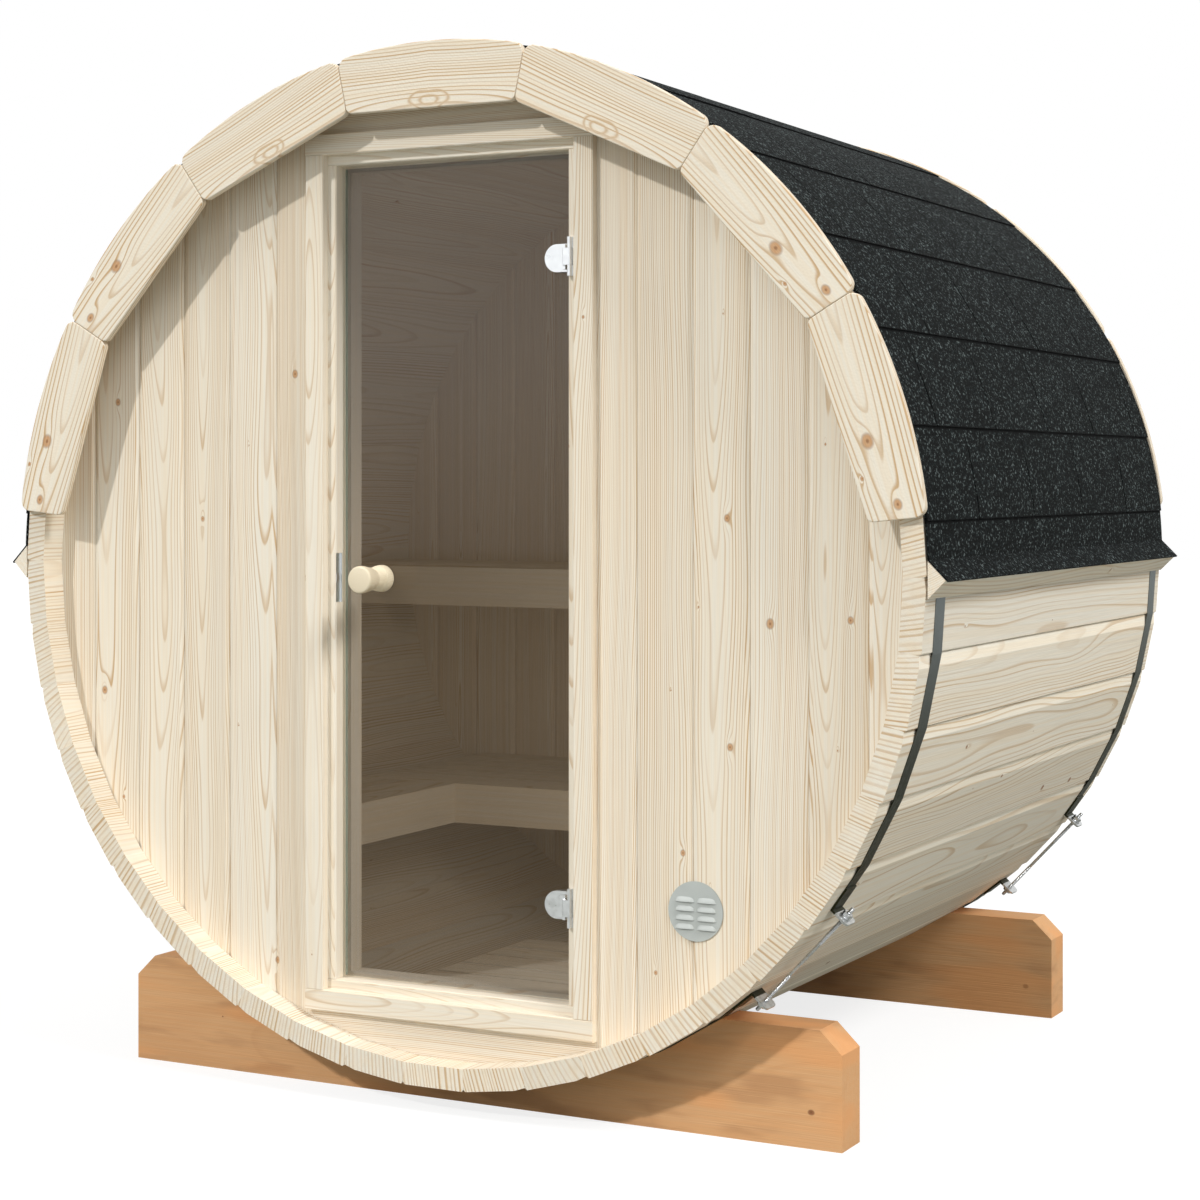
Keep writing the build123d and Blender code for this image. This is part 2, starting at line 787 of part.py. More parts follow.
vent_front = wall_face - seat_gap - vent_thickness
with BuildPart() as vent:
    with BuildSketch(end_plane(wall_face - seat_gap)):
        with Locations((vent_place, vent_height)):
            Circle(vent_radius)
    extrude(amount=vent_thickness)
    hood = louvre(louvre_width, louvre_height, louvre_reach, vent_front)
    hollow = louvre(
        louvre_width - 2 * louvre_sheet,
        louvre_height - louvre_sheet,
        louvre_reach - louvre_sheet,
        vent_front + vent_thickness,
    )
    for column in range(louvre_columns):
        for row in range(louvre_rows):
            x = vent_place + (column - (louvre_columns - 1) / 2) * louvre_column_distance
            z = vent_height + (row - (louvre_rows - 1) / 2) * louvre_row_distance - louvre_height / 2
            add(hood.moved(Location((x, 0, z))))
            add(hollow.moved(Location((x, 0, z))), mode=Mode.SUBTRACT)
save(vent, "vent_grille")

# Cradle skids, hollowed to the facets of the staves
for name, near in (
    ("front_skid", front_end + front_skid_offset),
    ("rear_skid", rear_end - rear_skid_offset - skid_thickness),
):
    with BuildPart() as skid:
        with BuildSketch(end_plane(near)):
            with BuildLine():
                half = skid_length / 2
                top = skid_height - axis_height
                Polyline(
                    (-half, -axis_height),
                    (half, -axis_height),
                    (half, top - skid_chamfer_height),
                    (half - skid_chamfer_length, top),
                    (skid_chamfer_length - half, top),
                    (-half, top - skid_chamfer_height),
                    close=True,
                )
            make_face()
            RegularPolygon(outer_flat + seat_gap, stave_count, major_radius=False, mode=Mode.SUBTRACT)
        extrude(amount=-skid_thickness)
    save(skid, name)


def half_chord(level, clearance):
    """Half the barrel's inner width at a level, less a clearance."""
    return sqrt(inner_flat**2 - level**2) - clearance


# Benches: slats on bearers, with a board along the front edge
bench_back = rear_wall_back - seat_gap
lower_bench_height = lower_bench_above_floor - inner_flat
upper_bench_height = lower_bench_height + upper_bench_rise
upper_front = front_end + upper_bench_front
lower_front = front_end + lower_bench_front


def slat_places(start, stop):
    """Middles and width of slats that fill a depth with the bench's usual gap between them."""
    count = round((stop - start + bench_slat_gap) / (bench_slat_width + bench_slat_gap))
    width = (stop - start - (count - 1) * bench_slat_gap) / count
    return [start + width / 2 + slat * (width + bench_slat_gap) for slat in range(count)], width


def bench_across(height, front):
    """Bench along the rear wall, from one side of the barrel to the other."""
    reach = half_chord(height - bench_front_board, seat_gap)
    top = axis_height + height
    places, width = slat_places(front + bench_board_thickness, bench_back)
    with BuildPart() as bench:
        for place in places:
            with Locations((0, place, top)):
                Box(2 * reach, width, bench_board_thickness, align=(Align.CENTER, Align.CENTER, Align.MAX))
        with Locations((0, front, top)):
            Box(2 * reach, bench_board_thickness, bench_front_board, align=(Align.CENTER, Align.MIN, Align.MAX))
        for side in (-1, 1):
            with Locations((side * (reach - bench_bearer_width / 2), front, top - bench_board_thickness)):
                Box(
                    bench_bearer_width,
                    bench_back - front,
                    bench_bearer_height,
                    align=(Align.CENTER, Align.MIN, Align.MAX),
                )
    return bench


save(bench_across(upper_bench_height, upper_front), "upper_bench")
save(bench_across(lower_bench_height, lower_front), "lower_bench")

# Side bench along the left of the barrel, from the front wall to the lower bench
with BuildPart() as side_bench:
    reach = half_chord(lower_bench_height - bench_front_board, seat_gap)
    top = axis_height + lower_bench_height
    side_start = wall_back + seat_gap
    side_length = lower_front - seat_gap - side_start
    places, width = slat_places(-reach, -lower_bench_side - bench_board_thickness)
    for place in places:
        with Locations((place, side_start, top)):
            Box(width, side_length, bench_board_thickness, align=(Align.CENTER, Align.MIN, Align.MAX))
    with Locations((-lower_bench_side, side_start, top)):
        Box(bench_board_thickness, side_length, bench_front_board, align=(Align.MAX, Align.MIN, Align.MAX))
    for place in (side_start, side_start + side_length - bench_bearer_width):
        with Locations((-lower_bench_side, place, top - bench_board_thickness)):
            Box(
                reach - lower_bench_side,
                bench_bearer_width,
                bench_bearer_height,
                align=(Align.MAX, Align.MIN, Align.MAX),
            )
save(side_bench, "side_bench")

# Duckboard: slats on two runners that stand on the barrel's curved floor
duckboard_height = duckboard_above_floor - inner_flat
with BuildPart() as duckboard:
    top = axis_height + duckboard_height
    slat_step = duckboard_slat_width + duckboard_slat_gap
    start = front_end + duckboard_start
    for slat in range(duckboard_slat_count):
        with Locations((0, start + slat * slat_step, top)):
            Box(
                duckboard_width,
                duckboard_slat_width,
                duckboard_slat_thickness,
                align=(Align.CENTER, Align.MIN, Align.MAX),
            )
    run_length = duckboard_slat_count * slat_step - duckboard_slat_gap
    for side in (-1, 1):
        with BuildSketch(end_plane(start)):
            with Locations((side * duckboard_width / 2, duckboard_height - duckboard_slat_thickness)):
                Rectangle(
                    duckboard_runner_width,
                    barrel_radius,
                    align=(Align.MIN if side < 0 else Align.MAX, Align.MAX),
                )
            RegularPolygon(inner_flat - seat_gap, stave_count, major_radius=False, mode=Mode.INTERSECT)
        extrude(amount=-run_length)
save(duckboard, "duckboard")
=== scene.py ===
"""Barrel sauna: boards, shingles, metalwork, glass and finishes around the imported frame.

Sizes are in metres. The barrel's axis runs along Y at the height AXIS. "Angle" is measured
round that axis from the top of the barrel towards the right side (+X).
"""
import math

import bmesh
import bpy
import numpy as np
from bpy.props import FloatProperty, FloatVectorProperty, IntProperty, PointerProperty
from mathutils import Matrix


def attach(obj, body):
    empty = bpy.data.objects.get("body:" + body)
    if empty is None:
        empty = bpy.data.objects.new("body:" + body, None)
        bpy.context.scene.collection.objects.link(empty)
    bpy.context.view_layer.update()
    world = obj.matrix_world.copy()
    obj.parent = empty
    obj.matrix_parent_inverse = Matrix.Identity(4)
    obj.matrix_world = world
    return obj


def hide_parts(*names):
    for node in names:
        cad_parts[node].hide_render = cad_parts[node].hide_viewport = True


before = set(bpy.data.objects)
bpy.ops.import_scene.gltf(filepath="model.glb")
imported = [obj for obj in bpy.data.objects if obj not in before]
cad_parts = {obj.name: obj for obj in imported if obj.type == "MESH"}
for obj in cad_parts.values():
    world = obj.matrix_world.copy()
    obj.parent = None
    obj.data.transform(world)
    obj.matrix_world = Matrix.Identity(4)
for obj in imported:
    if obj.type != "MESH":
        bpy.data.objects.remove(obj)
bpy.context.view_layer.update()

bl_info = {
    "name": "Barrel sauna",
    "version": (1, 0, 0),
    "blender": (4, 5, 0),
    "location": "3D View > Sidebar > Sauna",
    "description": "Builds the trim boards, shingles, metalwork and finishes of a barrel sauna",
    "category": "Object",
}

# Shared places, the same as in the part's source
AXIS = 1.023
RADIUS = 0.975
STAVE_COUNT = 46
STAVE_PITCH = 2 * math.pi / STAVE_COUNT
OUTER_FLAT = RADIUS * math.cos(STAVE_PITCH / 2)
END = 0.75
WALL_FACE = -0.692
FRAME_HALF = 0.316
BOARD_WIDTH = 0.1125
FIRST_JOINT = 0.0595
ROOF_INNER = OUTER_FLAT + 0.0015

# Knots as the photo shows them: (across, along, radius). The wall's along is -z, the trim's is upwards.
WALL_KNOTS = [(-0.787, -1.346, 0.0060), (-0.821, -0.758, 0.0066), (-0.394, -0.244, 0.0055),
              (0.578, -1.120, 0.0055), (0.662, -0.934, 0.0074), (0.584, -0.712, 0.0055),
              (0.491, -0.517, 0.0048)]
TRIM_KNOTS = [(-0.019, -0.050, 0.0108), (0.0, -0.169, 0.0078), (-0.048, -0.108, 0.0034)]
BATTEN_BACK = ROOF_INNER / math.cos(STAVE_PITCH / 2) + 0.0003


def paint(red, green, blue):
    """Linear colour from the three levels of a display colour, 0 to 255."""
    levels = np.array((red, green, blue)) / 255
    return tuple(np.where(levels <= 0.04045, levels / 12.92, ((levels + 0.055) / 1.055) ** 2.4).tolist())


# ---------------------------------------------------------------- settings


class WoodSettings(bpy.types.PropertyGroup):
    """Colours and growth of the boards."""

    spruce: FloatVectorProperty(
        name="Spruce", description="Pale wood of staves, walls and trim", subtype="COLOR",
        default=paint(235, 228, 214), min=0, max=1)
    late_wood: FloatVectorProperty(
        name="Late wood", description="Darker end of each growth ring", subtype="COLOR",
        default=paint(200, 168, 128), min=0, max=1)
    skid: FloatVectorProperty(
        name="Skids", description="Impregnated wood of the cradle skids", subtype="COLOR",
        default=paint(215, 168, 122), min=0, max=1)
    ring_width: FloatProperty(
        name="Ring width", description="Width of one year's growth", default=0.0027, min=0.001,
        max=0.02, unit="LENGTH")


class TrimSettings(bpy.types.PropertyGroup):
    """Arched trim boards at both ends."""

    easing: FloatProperty(
        name="Edge easing", description="Radius of the boards' rounded edges", default=0.002,
        min=0.0005, max=0.006, unit="LENGTH")
    outer_radius: FloatProperty(
        name="Outer radius", description="From the barrel's axis to the boards' outer edge",
        default=0.985, min=0.98, max=0.99, unit="LENGTH")
    inner_distance: FloatProperty(
        name="Inner distance", description="From the barrel's axis to the boards' straight inner edge",
        default=0.860, min=0.8, max=0.9, unit="LENGTH")
    boards: IntProperty(name="Boards", description="Boards in one arch", default=7, min=3, max=12)
    board_angle: FloatProperty(
        name="Board angle", description="Angle that one board covers", default=math.radians(24),
        min=math.radians(10), max=math.radians(40), subtype="ANGLE")


class RoofSettings(bpy.types.PropertyGroup):
    """Shingle courses on both sides of the ridge."""

    sheet: FloatProperty(
        name="Sheet", description="Thickness of one sheet", default=0.003, min=0.001, max=0.005,
        unit="LENGTH")
    lift: FloatProperty(
        name="Lift", description="How far a course's lower edge stands off the course below",
        default=0.003, min=0.0005, max=0.004, unit="LENGTH")
    tab: FloatProperty(
        name="Tab", description="Width of one tab along the barrel", default=0.318, min=0.1, max=0.5,
        unit="LENGTH")
    slot: FloatProperty(
        name="Slot", description="Gap between two tabs", default=0.0045, min=0.001, max=0.01,
        unit="LENGTH")
    granules: FloatVectorProperty(
        name="Granules", description="Mean colour of the mineral granules", subtype="COLOR",
        default=paint(15, 18, 18), min=0, max=1)
    light_granules: FloatVectorProperty(
        name="Light granules", description="Colour of the light grains among them", subtype="COLOR",
        default=paint(102, 112, 112), min=0, max=1)


class MetalSettings(bpy.types.PropertyGroup):
    """Bands, screws, hinges and vent."""

    band: FloatVectorProperty(
        name="Band", description="Dull strapping steel", subtype="COLOR",
        default=paint(126, 132, 134), min=0, max=1)
    zinc: FloatVectorProperty(
        name="Zinc", description="Galvanised screws and nuts", subtype="COLOR",
        default=paint(214, 216, 218), min=0, max=1)
    thread_pitch: FloatProperty(
        name="Thread pitch", description="Advance of the stud's thread in one turn", default=0.00125,
        min=0.0005, max=0.003, unit="LENGTH")


class StageSettings(bpy.types.PropertyGroup):
    """Floor, light and camera."""

    sun: FloatProperty(name="Sun", description="Strength of the key light", default=1.62, min=0, max=5)
    side: FloatProperty(
        name="Side light", description="Strength of the soft light from the right", default=2.0, min=0, max=5)
    cabin: FloatProperty(
        name="Cabin light", description="Power of the soft light inside", default=2.9, min=0, max=20)
    sky: FloatProperty(
        name="Sky", description="Level of the even light from all sides", default=0.65, min=0, max=2)
    floor: FloatProperty(
        name="Floor", description="Width of the floor", default=60, min=10, max=200, unit="LENGTH")


# ---------------------------------------------------------------- surfaces


def grid_faces(rows, columns, ring=False):
    """Four-cornered faces between neighbours of a grid of points; a ring joins its last column to its first."""
    row = np.arange(rows - 1)[:, None]
    column = np.arange(columns if ring else columns - 1)[None, :]
    after = (column + 1) % columns
    corners = (row * columns + column, row * columns + after,
               (row + 1) * columns + after, (row + 1) * columns + column)
    return np.stack(np.broadcast_arrays(*corners), -1).reshape(-1, 4)


def tube(rings):
    """Closed shell from rings of points (rows, corners, 3): neighbours are joined and both ends get a face."""
    rows, corners = rings.shape[:2]
    faces = grid_faces(rows, corners, ring=True).tolist()
    faces.append(list(range(corners))[::-1])
    faces.append(list(range((rows - 1) * corners, rows * corners)))
    return rings.reshape(-1, 3), faces


def turned(profile, middle, direction, side, corners=48):
    """Turned shell: each profile point (place along the axis, radius) becomes a ring.

    point = middle + direction * place + radius * (side * cos t + direction x side * sin t).
    """
    t = np.linspace(0, 2 * math.pi, corners, endpoint=False)
    direction, side = np.array(direction, float), np.array(side, float)
    across = np.cos(t)[:, None] * side + np.sin(t)[:, None] * np.cross(direction, side)
    profile = np.array(profile, float)
    rings = np.array(middle) + profile[:, :1, None] * direction + profile[:, 1:, None] * across
    return tube(rings)


def eased_board(outline, inward, back, front, easing, place):
    """Flat board with rounded edges, from a closed outline and its inward normals (N, 2).

    Ring k = place(outline + inward * inset_k, depth_k): the insets and depths follow a quarter circle
    of the easing's radius at the back edge and another at the front edge, with a narrow flat margin.
    """
    turn = np.linspace(0, math.pi / 2, 5)
    margin = 0.4 * easing
    inset = easing * (1 - np.sin(turn))
    depth = easing * (1 - np.cos(turn))
    step = 1 if front > back else -1
    insets = np.concatenate([[easing + margin], inset, inset[::-1], [easing + margin]])
    depths = np.concatenate([[back], back + step * depth, front - step * depth[::-1], [front]])
    flat = outline[None] + insets[:, None, None] * inward[None]
    return tube(place(flat[..., 0], flat[..., 1], np.broadcast_to(depths[:, None], flat.shape[:2])))


def make_piece(name, shells, material, body, nodes=(), sharp=40):
    """One mesh from closed shells, with outward faces and smooth shading up to the sharp angle."""
    points, faces, start = [], [], 0
    for shell_points, shell_faces in shells:
        points.append(shell_points)
        faces += [[corner + start for corner in face] for face in shell_faces]
        start += len(shell_points)
    mesh = bpy.data.meshes.new(name)
    mesh.from_pydata(np.concatenate(points).tolist(), [], faces)
    work = bmesh.new()
    work.from_mesh(mesh)
    bmesh.ops.recalc_face_normals(work, faces=work.faces)
    work.to_mesh(mesh)
    work.free()
    mesh.polygons.foreach_set("use_smooth", np.ones(len(mesh.polygons), bool))
    mesh.set_sharp_from_angle(angle=math.radians(sharp))
    mesh.materials.append(material)
    piece = bpy.data.objects.new(name, mesh)
    bpy.context.scene.collection.objects.link(piece)
    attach(piece, body)
    if nodes:
        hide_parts(*nodes)
    return piece


def dress(material, *names):
    """Gives CAD nodes a material, keeping their shape."""
    for name in names:
        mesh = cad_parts[name].data
        if mesh.materials:
            for slot in range(len(mesh.materials)):
                mesh.materials[slot] = material
        else:
            mesh.materials.append(material)


# ---------------------------------------------------------------- node arithmetic


class Term:
    """A number at each point of a surface: arithmetic on terms adds the nodes that work it out."""

    def __init__(self, tree, socket):
        self.tree, self.socket = tree, socket

    def _do(self, operation, *others, clamp=False):
        made = self.tree.nodes.new("ShaderNodeMath")
        made.operation, made.use_clamp = operation, clamp
        for place, value in enumerate((self, *others)):
            feed(self.tree, made.inputs[place], value)
        return Term(self.tree, made.outputs[0])

    def __add__(self, other): return self._do("ADD", other)
    def __radd__(self, other): return self._do("ADD", other)
    def __sub__(self, other): return self._do("SUBTRACT", other)
    def __rsub__(self, other): return (self * -1) + other
    def __mul__(self, other): return self._do("MULTIPLY", other)
    def __rmul__(self, other): return self._do("MULTIPLY", other)
    def __truediv__(self, other): return self._do("DIVIDE", other)
    def __pow__(self, other): return self._do("POWER", other)

    def fraction(self): return self._do("FRACT")
    def floor(self): return self._do("FLOOR")
    def round(self): return self._do("ROUND")
    def size(self): return self._do("ABSOLUTE")
    def sign(self): return self._do("SIGN")
    def sine(self): return self._do("SINE")
    def cosine(self): return self._do("COSINE")
    def root(self): return self._do("SQRT")
    def under(self, limit): return self._do("LESS_THAN", limit)
    def over(self, limit): return self._do("GREATER_THAN", limit)
    def larger(self, other): return self._do("MAXIMUM", other)
    def smaller(self, other): return self._do("MINIMUM", other)
    def clamp(self): return self._do("ADD", 0.0, clamp=True)
    def bell(self): return Term(self.tree, (self * self * -1).socket)._do("EXPONENT")

    def step(self, start, stop):
        """0 before start and 1 after stop, smoothly."""
        made = self.tree.nodes.new("ShaderNodeMapRange")
        made.interpolation_type = "SMOOTHSTEP"
        feed(self.tree, made.inputs["Value"], self)
        made.inputs["From Min"].default_value = start
        made.inputs["From Max"].default_value = stop
        return Term(self.tree, made.outputs[0])


def feed(tree, socket, value):
    """Joins a term or socket to an input, or sets the input to a number or colour."""
    if isinstance(value, Term):
        tree.links.new(value.socket, socket)
    elif isinstance(value, bpy.types.NodeSocket):
        tree.links.new(value, socket)
    elif socket.type == "RGBA" and len(value) == 3:
        socket.default_value = (*value, 1)
    else:
        socket.default_value = value


def node(tree, kind, feeds, **settings):
    """Adds a node, makes its settings and feeds its inputs by name or number."""
    made = tree.nodes.new(kind)
    for name, value in settings.items():
        setattr(made, name, value)
    for key, value in feeds.items():
        feed(tree, made.inputs[key], value)
    return made


def vector(tree, x, y, z=0.0):
    """Vector of three terms."""
    return node(tree, "ShaderNodeCombineXYZ", {0: x, 1: y, 2: z}).outputs[0]


def parts_of(tree, socket):
    """The three terms of a vector or colour."""
    made = node(tree, "ShaderNodeSeparateXYZ", {0: socket})
    return [Term(tree, out) for out in made.outputs]


def noise(tree, place, scale=1.0, detail=2.0, rough=0.5):
    """Smooth noise at a place: its value, and its colour as three more values."""
    made = node(tree, "ShaderNodeTexNoise", {"Vector": place, "Scale": scale, "Detail": detail,
                                            "Roughness": rough})
    return Term(tree, made.outputs[0]), parts_of(tree, made.outputs[1])


def chance(tree, number):
    """Three random terms for a board's number."""
    made = node(tree, "ShaderNodeTexWhiteNoise", {"W": number}, noise_dimensions="1D")
    return parts_of(tree, made.outputs[1])


def blend(tree, factor, first, second, kind="MIX"):
    """Colour between two colours, or one laid over the other."""
    made = tree.nodes.new("ShaderNodeMix")
    made.data_type, made.blend_type, made.clamp_factor = "RGBA", kind, True
    feed(tree, made.inputs[0], factor)
    feed(tree, made.inputs[6], first)
    feed(tree, made.inputs[7], second)
    return made.outputs[2]


def grey(tree, term):
    """A term as a colour of three equal parts."""
    return vector(tree, term, term, term)


def new_material(name):
    """Empty material with its shader and output; returns the material, its tree and its shader."""
    material = bpy.data.materials.new(name)
    material.use_nodes = True
    tree = material.node_tree
    shader = next(n for n in tree.nodes if n.type == "BSDF_PRINCIPLED")
    return material, tree, shader


def place_terms(tree):
    """The surface point's three coordinates."""
    return parts_of(tree, tree.nodes.new("ShaderNodeTexCoord").outputs["Object"])


def bump(tree, shader, height, distance, strength=1.0):
    """Bump from a height term."""
    made = node(tree, "ShaderNodeBump", {"Height": height, "Distance": distance, "Strength": strength})
    tree.links.new(made.outputs[0], shader.inputs["Normal"])


# ---------------------------------------------------------------- wood


def knots_along(tree, across, along, number, spacing, smallest, largest, share):
    """At most one knot in each length of a board: how many of its radii away it is, and the radius.

    The board's length is cut into cells. A cell's random values give the knot's place and size, and
    whether it is there at all: past the share it lies out of reach.
    """
    shifted = along / spacing + number * 0.371
    cell = shifted.floor()
    luck, aside, ahead = spots_of(tree, cell, number)
    off_across = across - (aside - 0.5) * 0.095
    off_along = (shifted - cell - 0.5 - (ahead - 0.5) * 0.6) * spacing
    radius = (luck / share) ** 5.0 * (largest - smallest) + smallest
    absent = luck.over(share) * 9.0
    return off_across, off_along, radius, absent


def spots_of(tree, first, second):
    """Three random terms for a pair of numbers."""
    made = node(tree, "ShaderNodeTexWhiteNoise", {"Vector": vector(tree, first, second)},
                noise_dimensions="2D")
    return parts_of(tree, made.outputs[1])


def knot_masks(off_across, off_along, radius, absent):
    """Core, rim and reach of one knot; the reach runs out further along the board, as a flame."""
    away = (off_across * off_across + off_along * off_along * 0.6).root() / radius + absent
    ahead = off_along / (off_along.over(0) * 4.2 + 2.2)
    reach = ((off_across * off_across * 0.45 + ahead * ahead).root() / radius + absent).bell()
    return *knot_faces(away), reach


def knot_faces(away):
    """Core and rim of a knot from the distance in its radii: a tan disc, a darker heart and a thin edge."""
    core = 1 - away.step(0.62, 1.12)
    rim = (away.step(0.6, 0.9) * (1 - away.step(0.95, 1.25))) * 0.4 + (1 - away.step(0.1, 0.42)) * 0.8
    return core, rim


def growth_rings():
    """Node group for the growth rings of sawn boards.

    Every board number stands for a log of its own. The board's point (across, depth, along) is at
    the distance root(a^2 + d^2) from the pith, where a and d are across and depth less the pith's
    place, which slants and wanders along the board. The fraction of that distance over the ring
    width rises from early to late wood, and each year is of its own strength. Knots push the rings
    out; the bulge pushes them further where a board's own knots stand.
    """
    tree = bpy.data.node_groups.new("growth_rings", "ShaderNodeTree")
    for name in ("Across", "Depth", "Along", "Number", "Ring width", "Knots", "Slant", "Sideways", "Bulge"):
        tree.interface.new_socket(name=name, in_out="INPUT", socket_type="NodeSocketFloat")
    for name in ("Late", "Fibre", "Streak", "Patch", "Tone", "Warmth", "Knot", "Rim", "Reach"):
        tree.interface.new_socket(name=name, in_out="OUTPUT", socket_type="NodeSocketFloat")
    given = tree.nodes.new("NodeGroupInput")
    across, depth, along, number, ring_width, knots, slant, sideways, bulge = [
        Term(tree, s) for s in given.outputs[:9]]
    first, second, third = chance(tree, number)
    tone, warmth, spread = chance(tree, number + 41.7)

    core, rim, reach = knot_masks(*knots_along(tree, across, along, number, 0.26, 0.0013, 0.0075, knots))

    sway_a, _ = noise(tree, vector(tree, along * 1.4 + number * 7.31, number * 3.7, depth * 3), 1.0, 0.0)
    sway_d, _ = noise(tree, vector(tree, across * 11 + number * 2.9, along * 2.3 + number * 5.3, depth * 6), 1.0, 0.0)
    a = across + (first - 0.5) * sideways + (sway_a - 0.5) * 0.026
    d = depth + 0.048 + second * 0.05 + (third + 0.35) * along * slant + (sway_d - 0.5) * 0.017
    from_pith = (a * a + d * d).root() + reach * 0.004 + bulge
    jitter, _ = noise(tree, vector(tree, from_pith * 70, number * 3.3), 1.0, 0.0)
    ring = from_pith / (ring_width * (0.8 + spread * 0.5)) + (jitter - 0.5) * 1.6
    count = ring.floor()
    year = ring - count
    strength, _, _ = chance(tree, count + number * 13.1)
    steepness = a.size() / from_pith
    late = (year - (1 - steepness) * 0.22).step(0.45, 0.72) * (1 - year.step(0.93, 1.0))
    late = late * (strength * 0.7 + 0.3) * (steepness * 0.4 + 0.6)
    fibre, _ = noise(tree, vector(tree, across * 460, depth * 460, along * 9), 1.0, 1.0, 0.6)
    streak, _ = noise(tree, vector(tree, across * 150 + number * 3, depth * 150, along * 1.5), 1.0, 0.0)
    patch, _ = noise(tree, vector(tree, across * 16, depth * 14 + number * 2.2, along * 2.1 + number), 1.0, 0.0)
    result = tree.nodes.new("NodeGroupOutput")
    terms = (late, fibre, streak, patch, tone, warmth, core, rim, reach)
    for place, term in enumerate(terms):
        feed(tree, result.inputs[place], term)
    return tree


def upright(tree, x, y, z):
    """Boards that stand upright across the barrel: across = x, along = z, one number per board."""
    place = (x.size() - FIRST_JOINT) / BOARD_WIDTH
    index = place.floor() + 1
    beside = place.over(0)
    centre = (index - 0.5) * BOARD_WIDTH + FIRST_JOINT
    across = x.size() - centre * beside
    number = index * beside * x.sign() + y.over(0) * 31
    return across * x.sign(), y.size() - 0.692, z, number


def level(tree, x, y, z):
    """Boards that run level across the barrel, over and under the door."""
    up = z - AXIS
    return up.size() - 0.85, y.size() - 0.692, x, up.sign() * 2 + 60


def round_barrel(pitch):
    """Boards set round the barrel's axis, each turned by the pitch from the last."""

    def place(tree, x, y, z):
        up = z - AXIS
        radius = (x * x + up * up).root()
        angle = x._do("ARCTAN2", up)
        index = (angle / pitch).round()
        turn = angle - index * pitch
        return radius * turn.sine(), radius * turn.cosine(), y, index

    return place


def staves(tree, x, y, z):
    """Staves: across goes round the barrel, depth outwards and along goes with the axis."""
    across, out, along, index = round_barrel(STAVE_PITCH)(tree, x, y, z)
    end = y.size().over(END - 0.0003)
    return (across * (1 - end * 0.4) + end * 0.12, (out - OUTER_FLAT + 0.03) * (1 - end * 0.8), along,
            index + end * 70)


def stave_painted_bevel_light(across, depth):
    """Painted highlight and shade: the bevels are painted lighter (x1.10) than the staves' faces, ends and insides,
    which are painted darker (x0.95), for the light that the bevels catch.
    """
    return depth.under(0.0298) * depth.over(0.0235) * 0.15 + 0.95


def trim_place(tree, x, y, z):
    """A trim board's own axes: along goes down round the barrel, across goes outwards."""
    along, out, depth, index = round_barrel(math.radians(24))(tree, x, y, z)
    return out - 0.922, depth, along * x.sign(), index


def trim_boards(tree, x, y, z):
    """Trim boards of the arches. The three at the top are cut from one kind of board and the rest from another."""
    across, depth, along, index = trim_place(tree, x, y, z)
    low = index.size().over(1.5)
    return (across + 0.075 - low * 0.067) * (low * 0.2 + 0.8), depth.size() - 0.765, along, low * 3.0 + y.over(0) * 17 + 1.0


def jambs(tree, x, y, z):
    """Door jambs run up; the inner step is a board of its own."""
    inner = x.size().under(0.2755)
    return x.size() - 0.28, y + 0.709, z, x.sign() * 2 + inner * 5


def heads(tree, x, y, z):
    """Door head and sill run across."""
    high = (z - 1.0085).size()
    return high - 0.80, y + 0.709, x, (z - 1.0).sign() * 3 + high.under(0.7935) * 5


def bench_boards(tree, x, y, z):
    """Bench and duckboard slats along X."""
    index = ((y + 2.0) / 0.096).floor()
    return (y + 2.0) - (index + 0.5) * 0.096, z, x, index + (z / 0.2).floor() * 13


def side_bench_boards(tree, x, y, z):
    """Side bench slats along Y."""
    index = ((x + 2.0) / 0.097).floor()
    return (x + 2.0) - (index + 0.5) * 0.097, z, y, index + (z / 0.03).floor() * 5


def rails(tree, x, y, z):
    """Eave rails along Y, one number each side."""
    return z - 1.019, x.size() - 0.99, y, x.sign() * 4


def skid_boards(tree, x, y, z):
    """Skids along X, one number each."""
    return z - 0.11, y, x, y.sign() * 3 + 5


def wall_spots(tree, x, y, z):
    """Where the front wall's own knots are measured: x and z, on the front only."""
    return x, z * -1, y.over(0) * 9


def trim_spots(tree, x, y, z):
    """Where the lower trim boards' knots are measured."""
    across, _, along, index = trim_place(tree, x, y, z)
    return across * x.sign(), along * -1, index.size().under(1.5) * 9


def trim_eyes(tree, x, y, z):
    """The upper trim boards' point measured from their closed rings, in the rings' own radii."""
    across, _, along, index = trim_place(tree, x, y, z)
    return (across + 0.047) / 0.017, (along - 0.004) / 0.036, index.size().over(1.5) * 9


def closed_rings(across, along, hidden):
    """Late wood of two closed rings, one in the other, slightly crooked."""
    away = (across * across + along * along).root() + (along * 4.0 + across * 2.0).sine() * 0.08 + hidden
    outer = ((away - 1.0) / 0.10).bell()
    inner = ((away - 0.5) / 0.12).bell()
    return outer.larger(inner) * 0.55


def skid_spots(tree, x, y, z):
    """Where the skids' knots are measured."""
    return z, x, x * 0


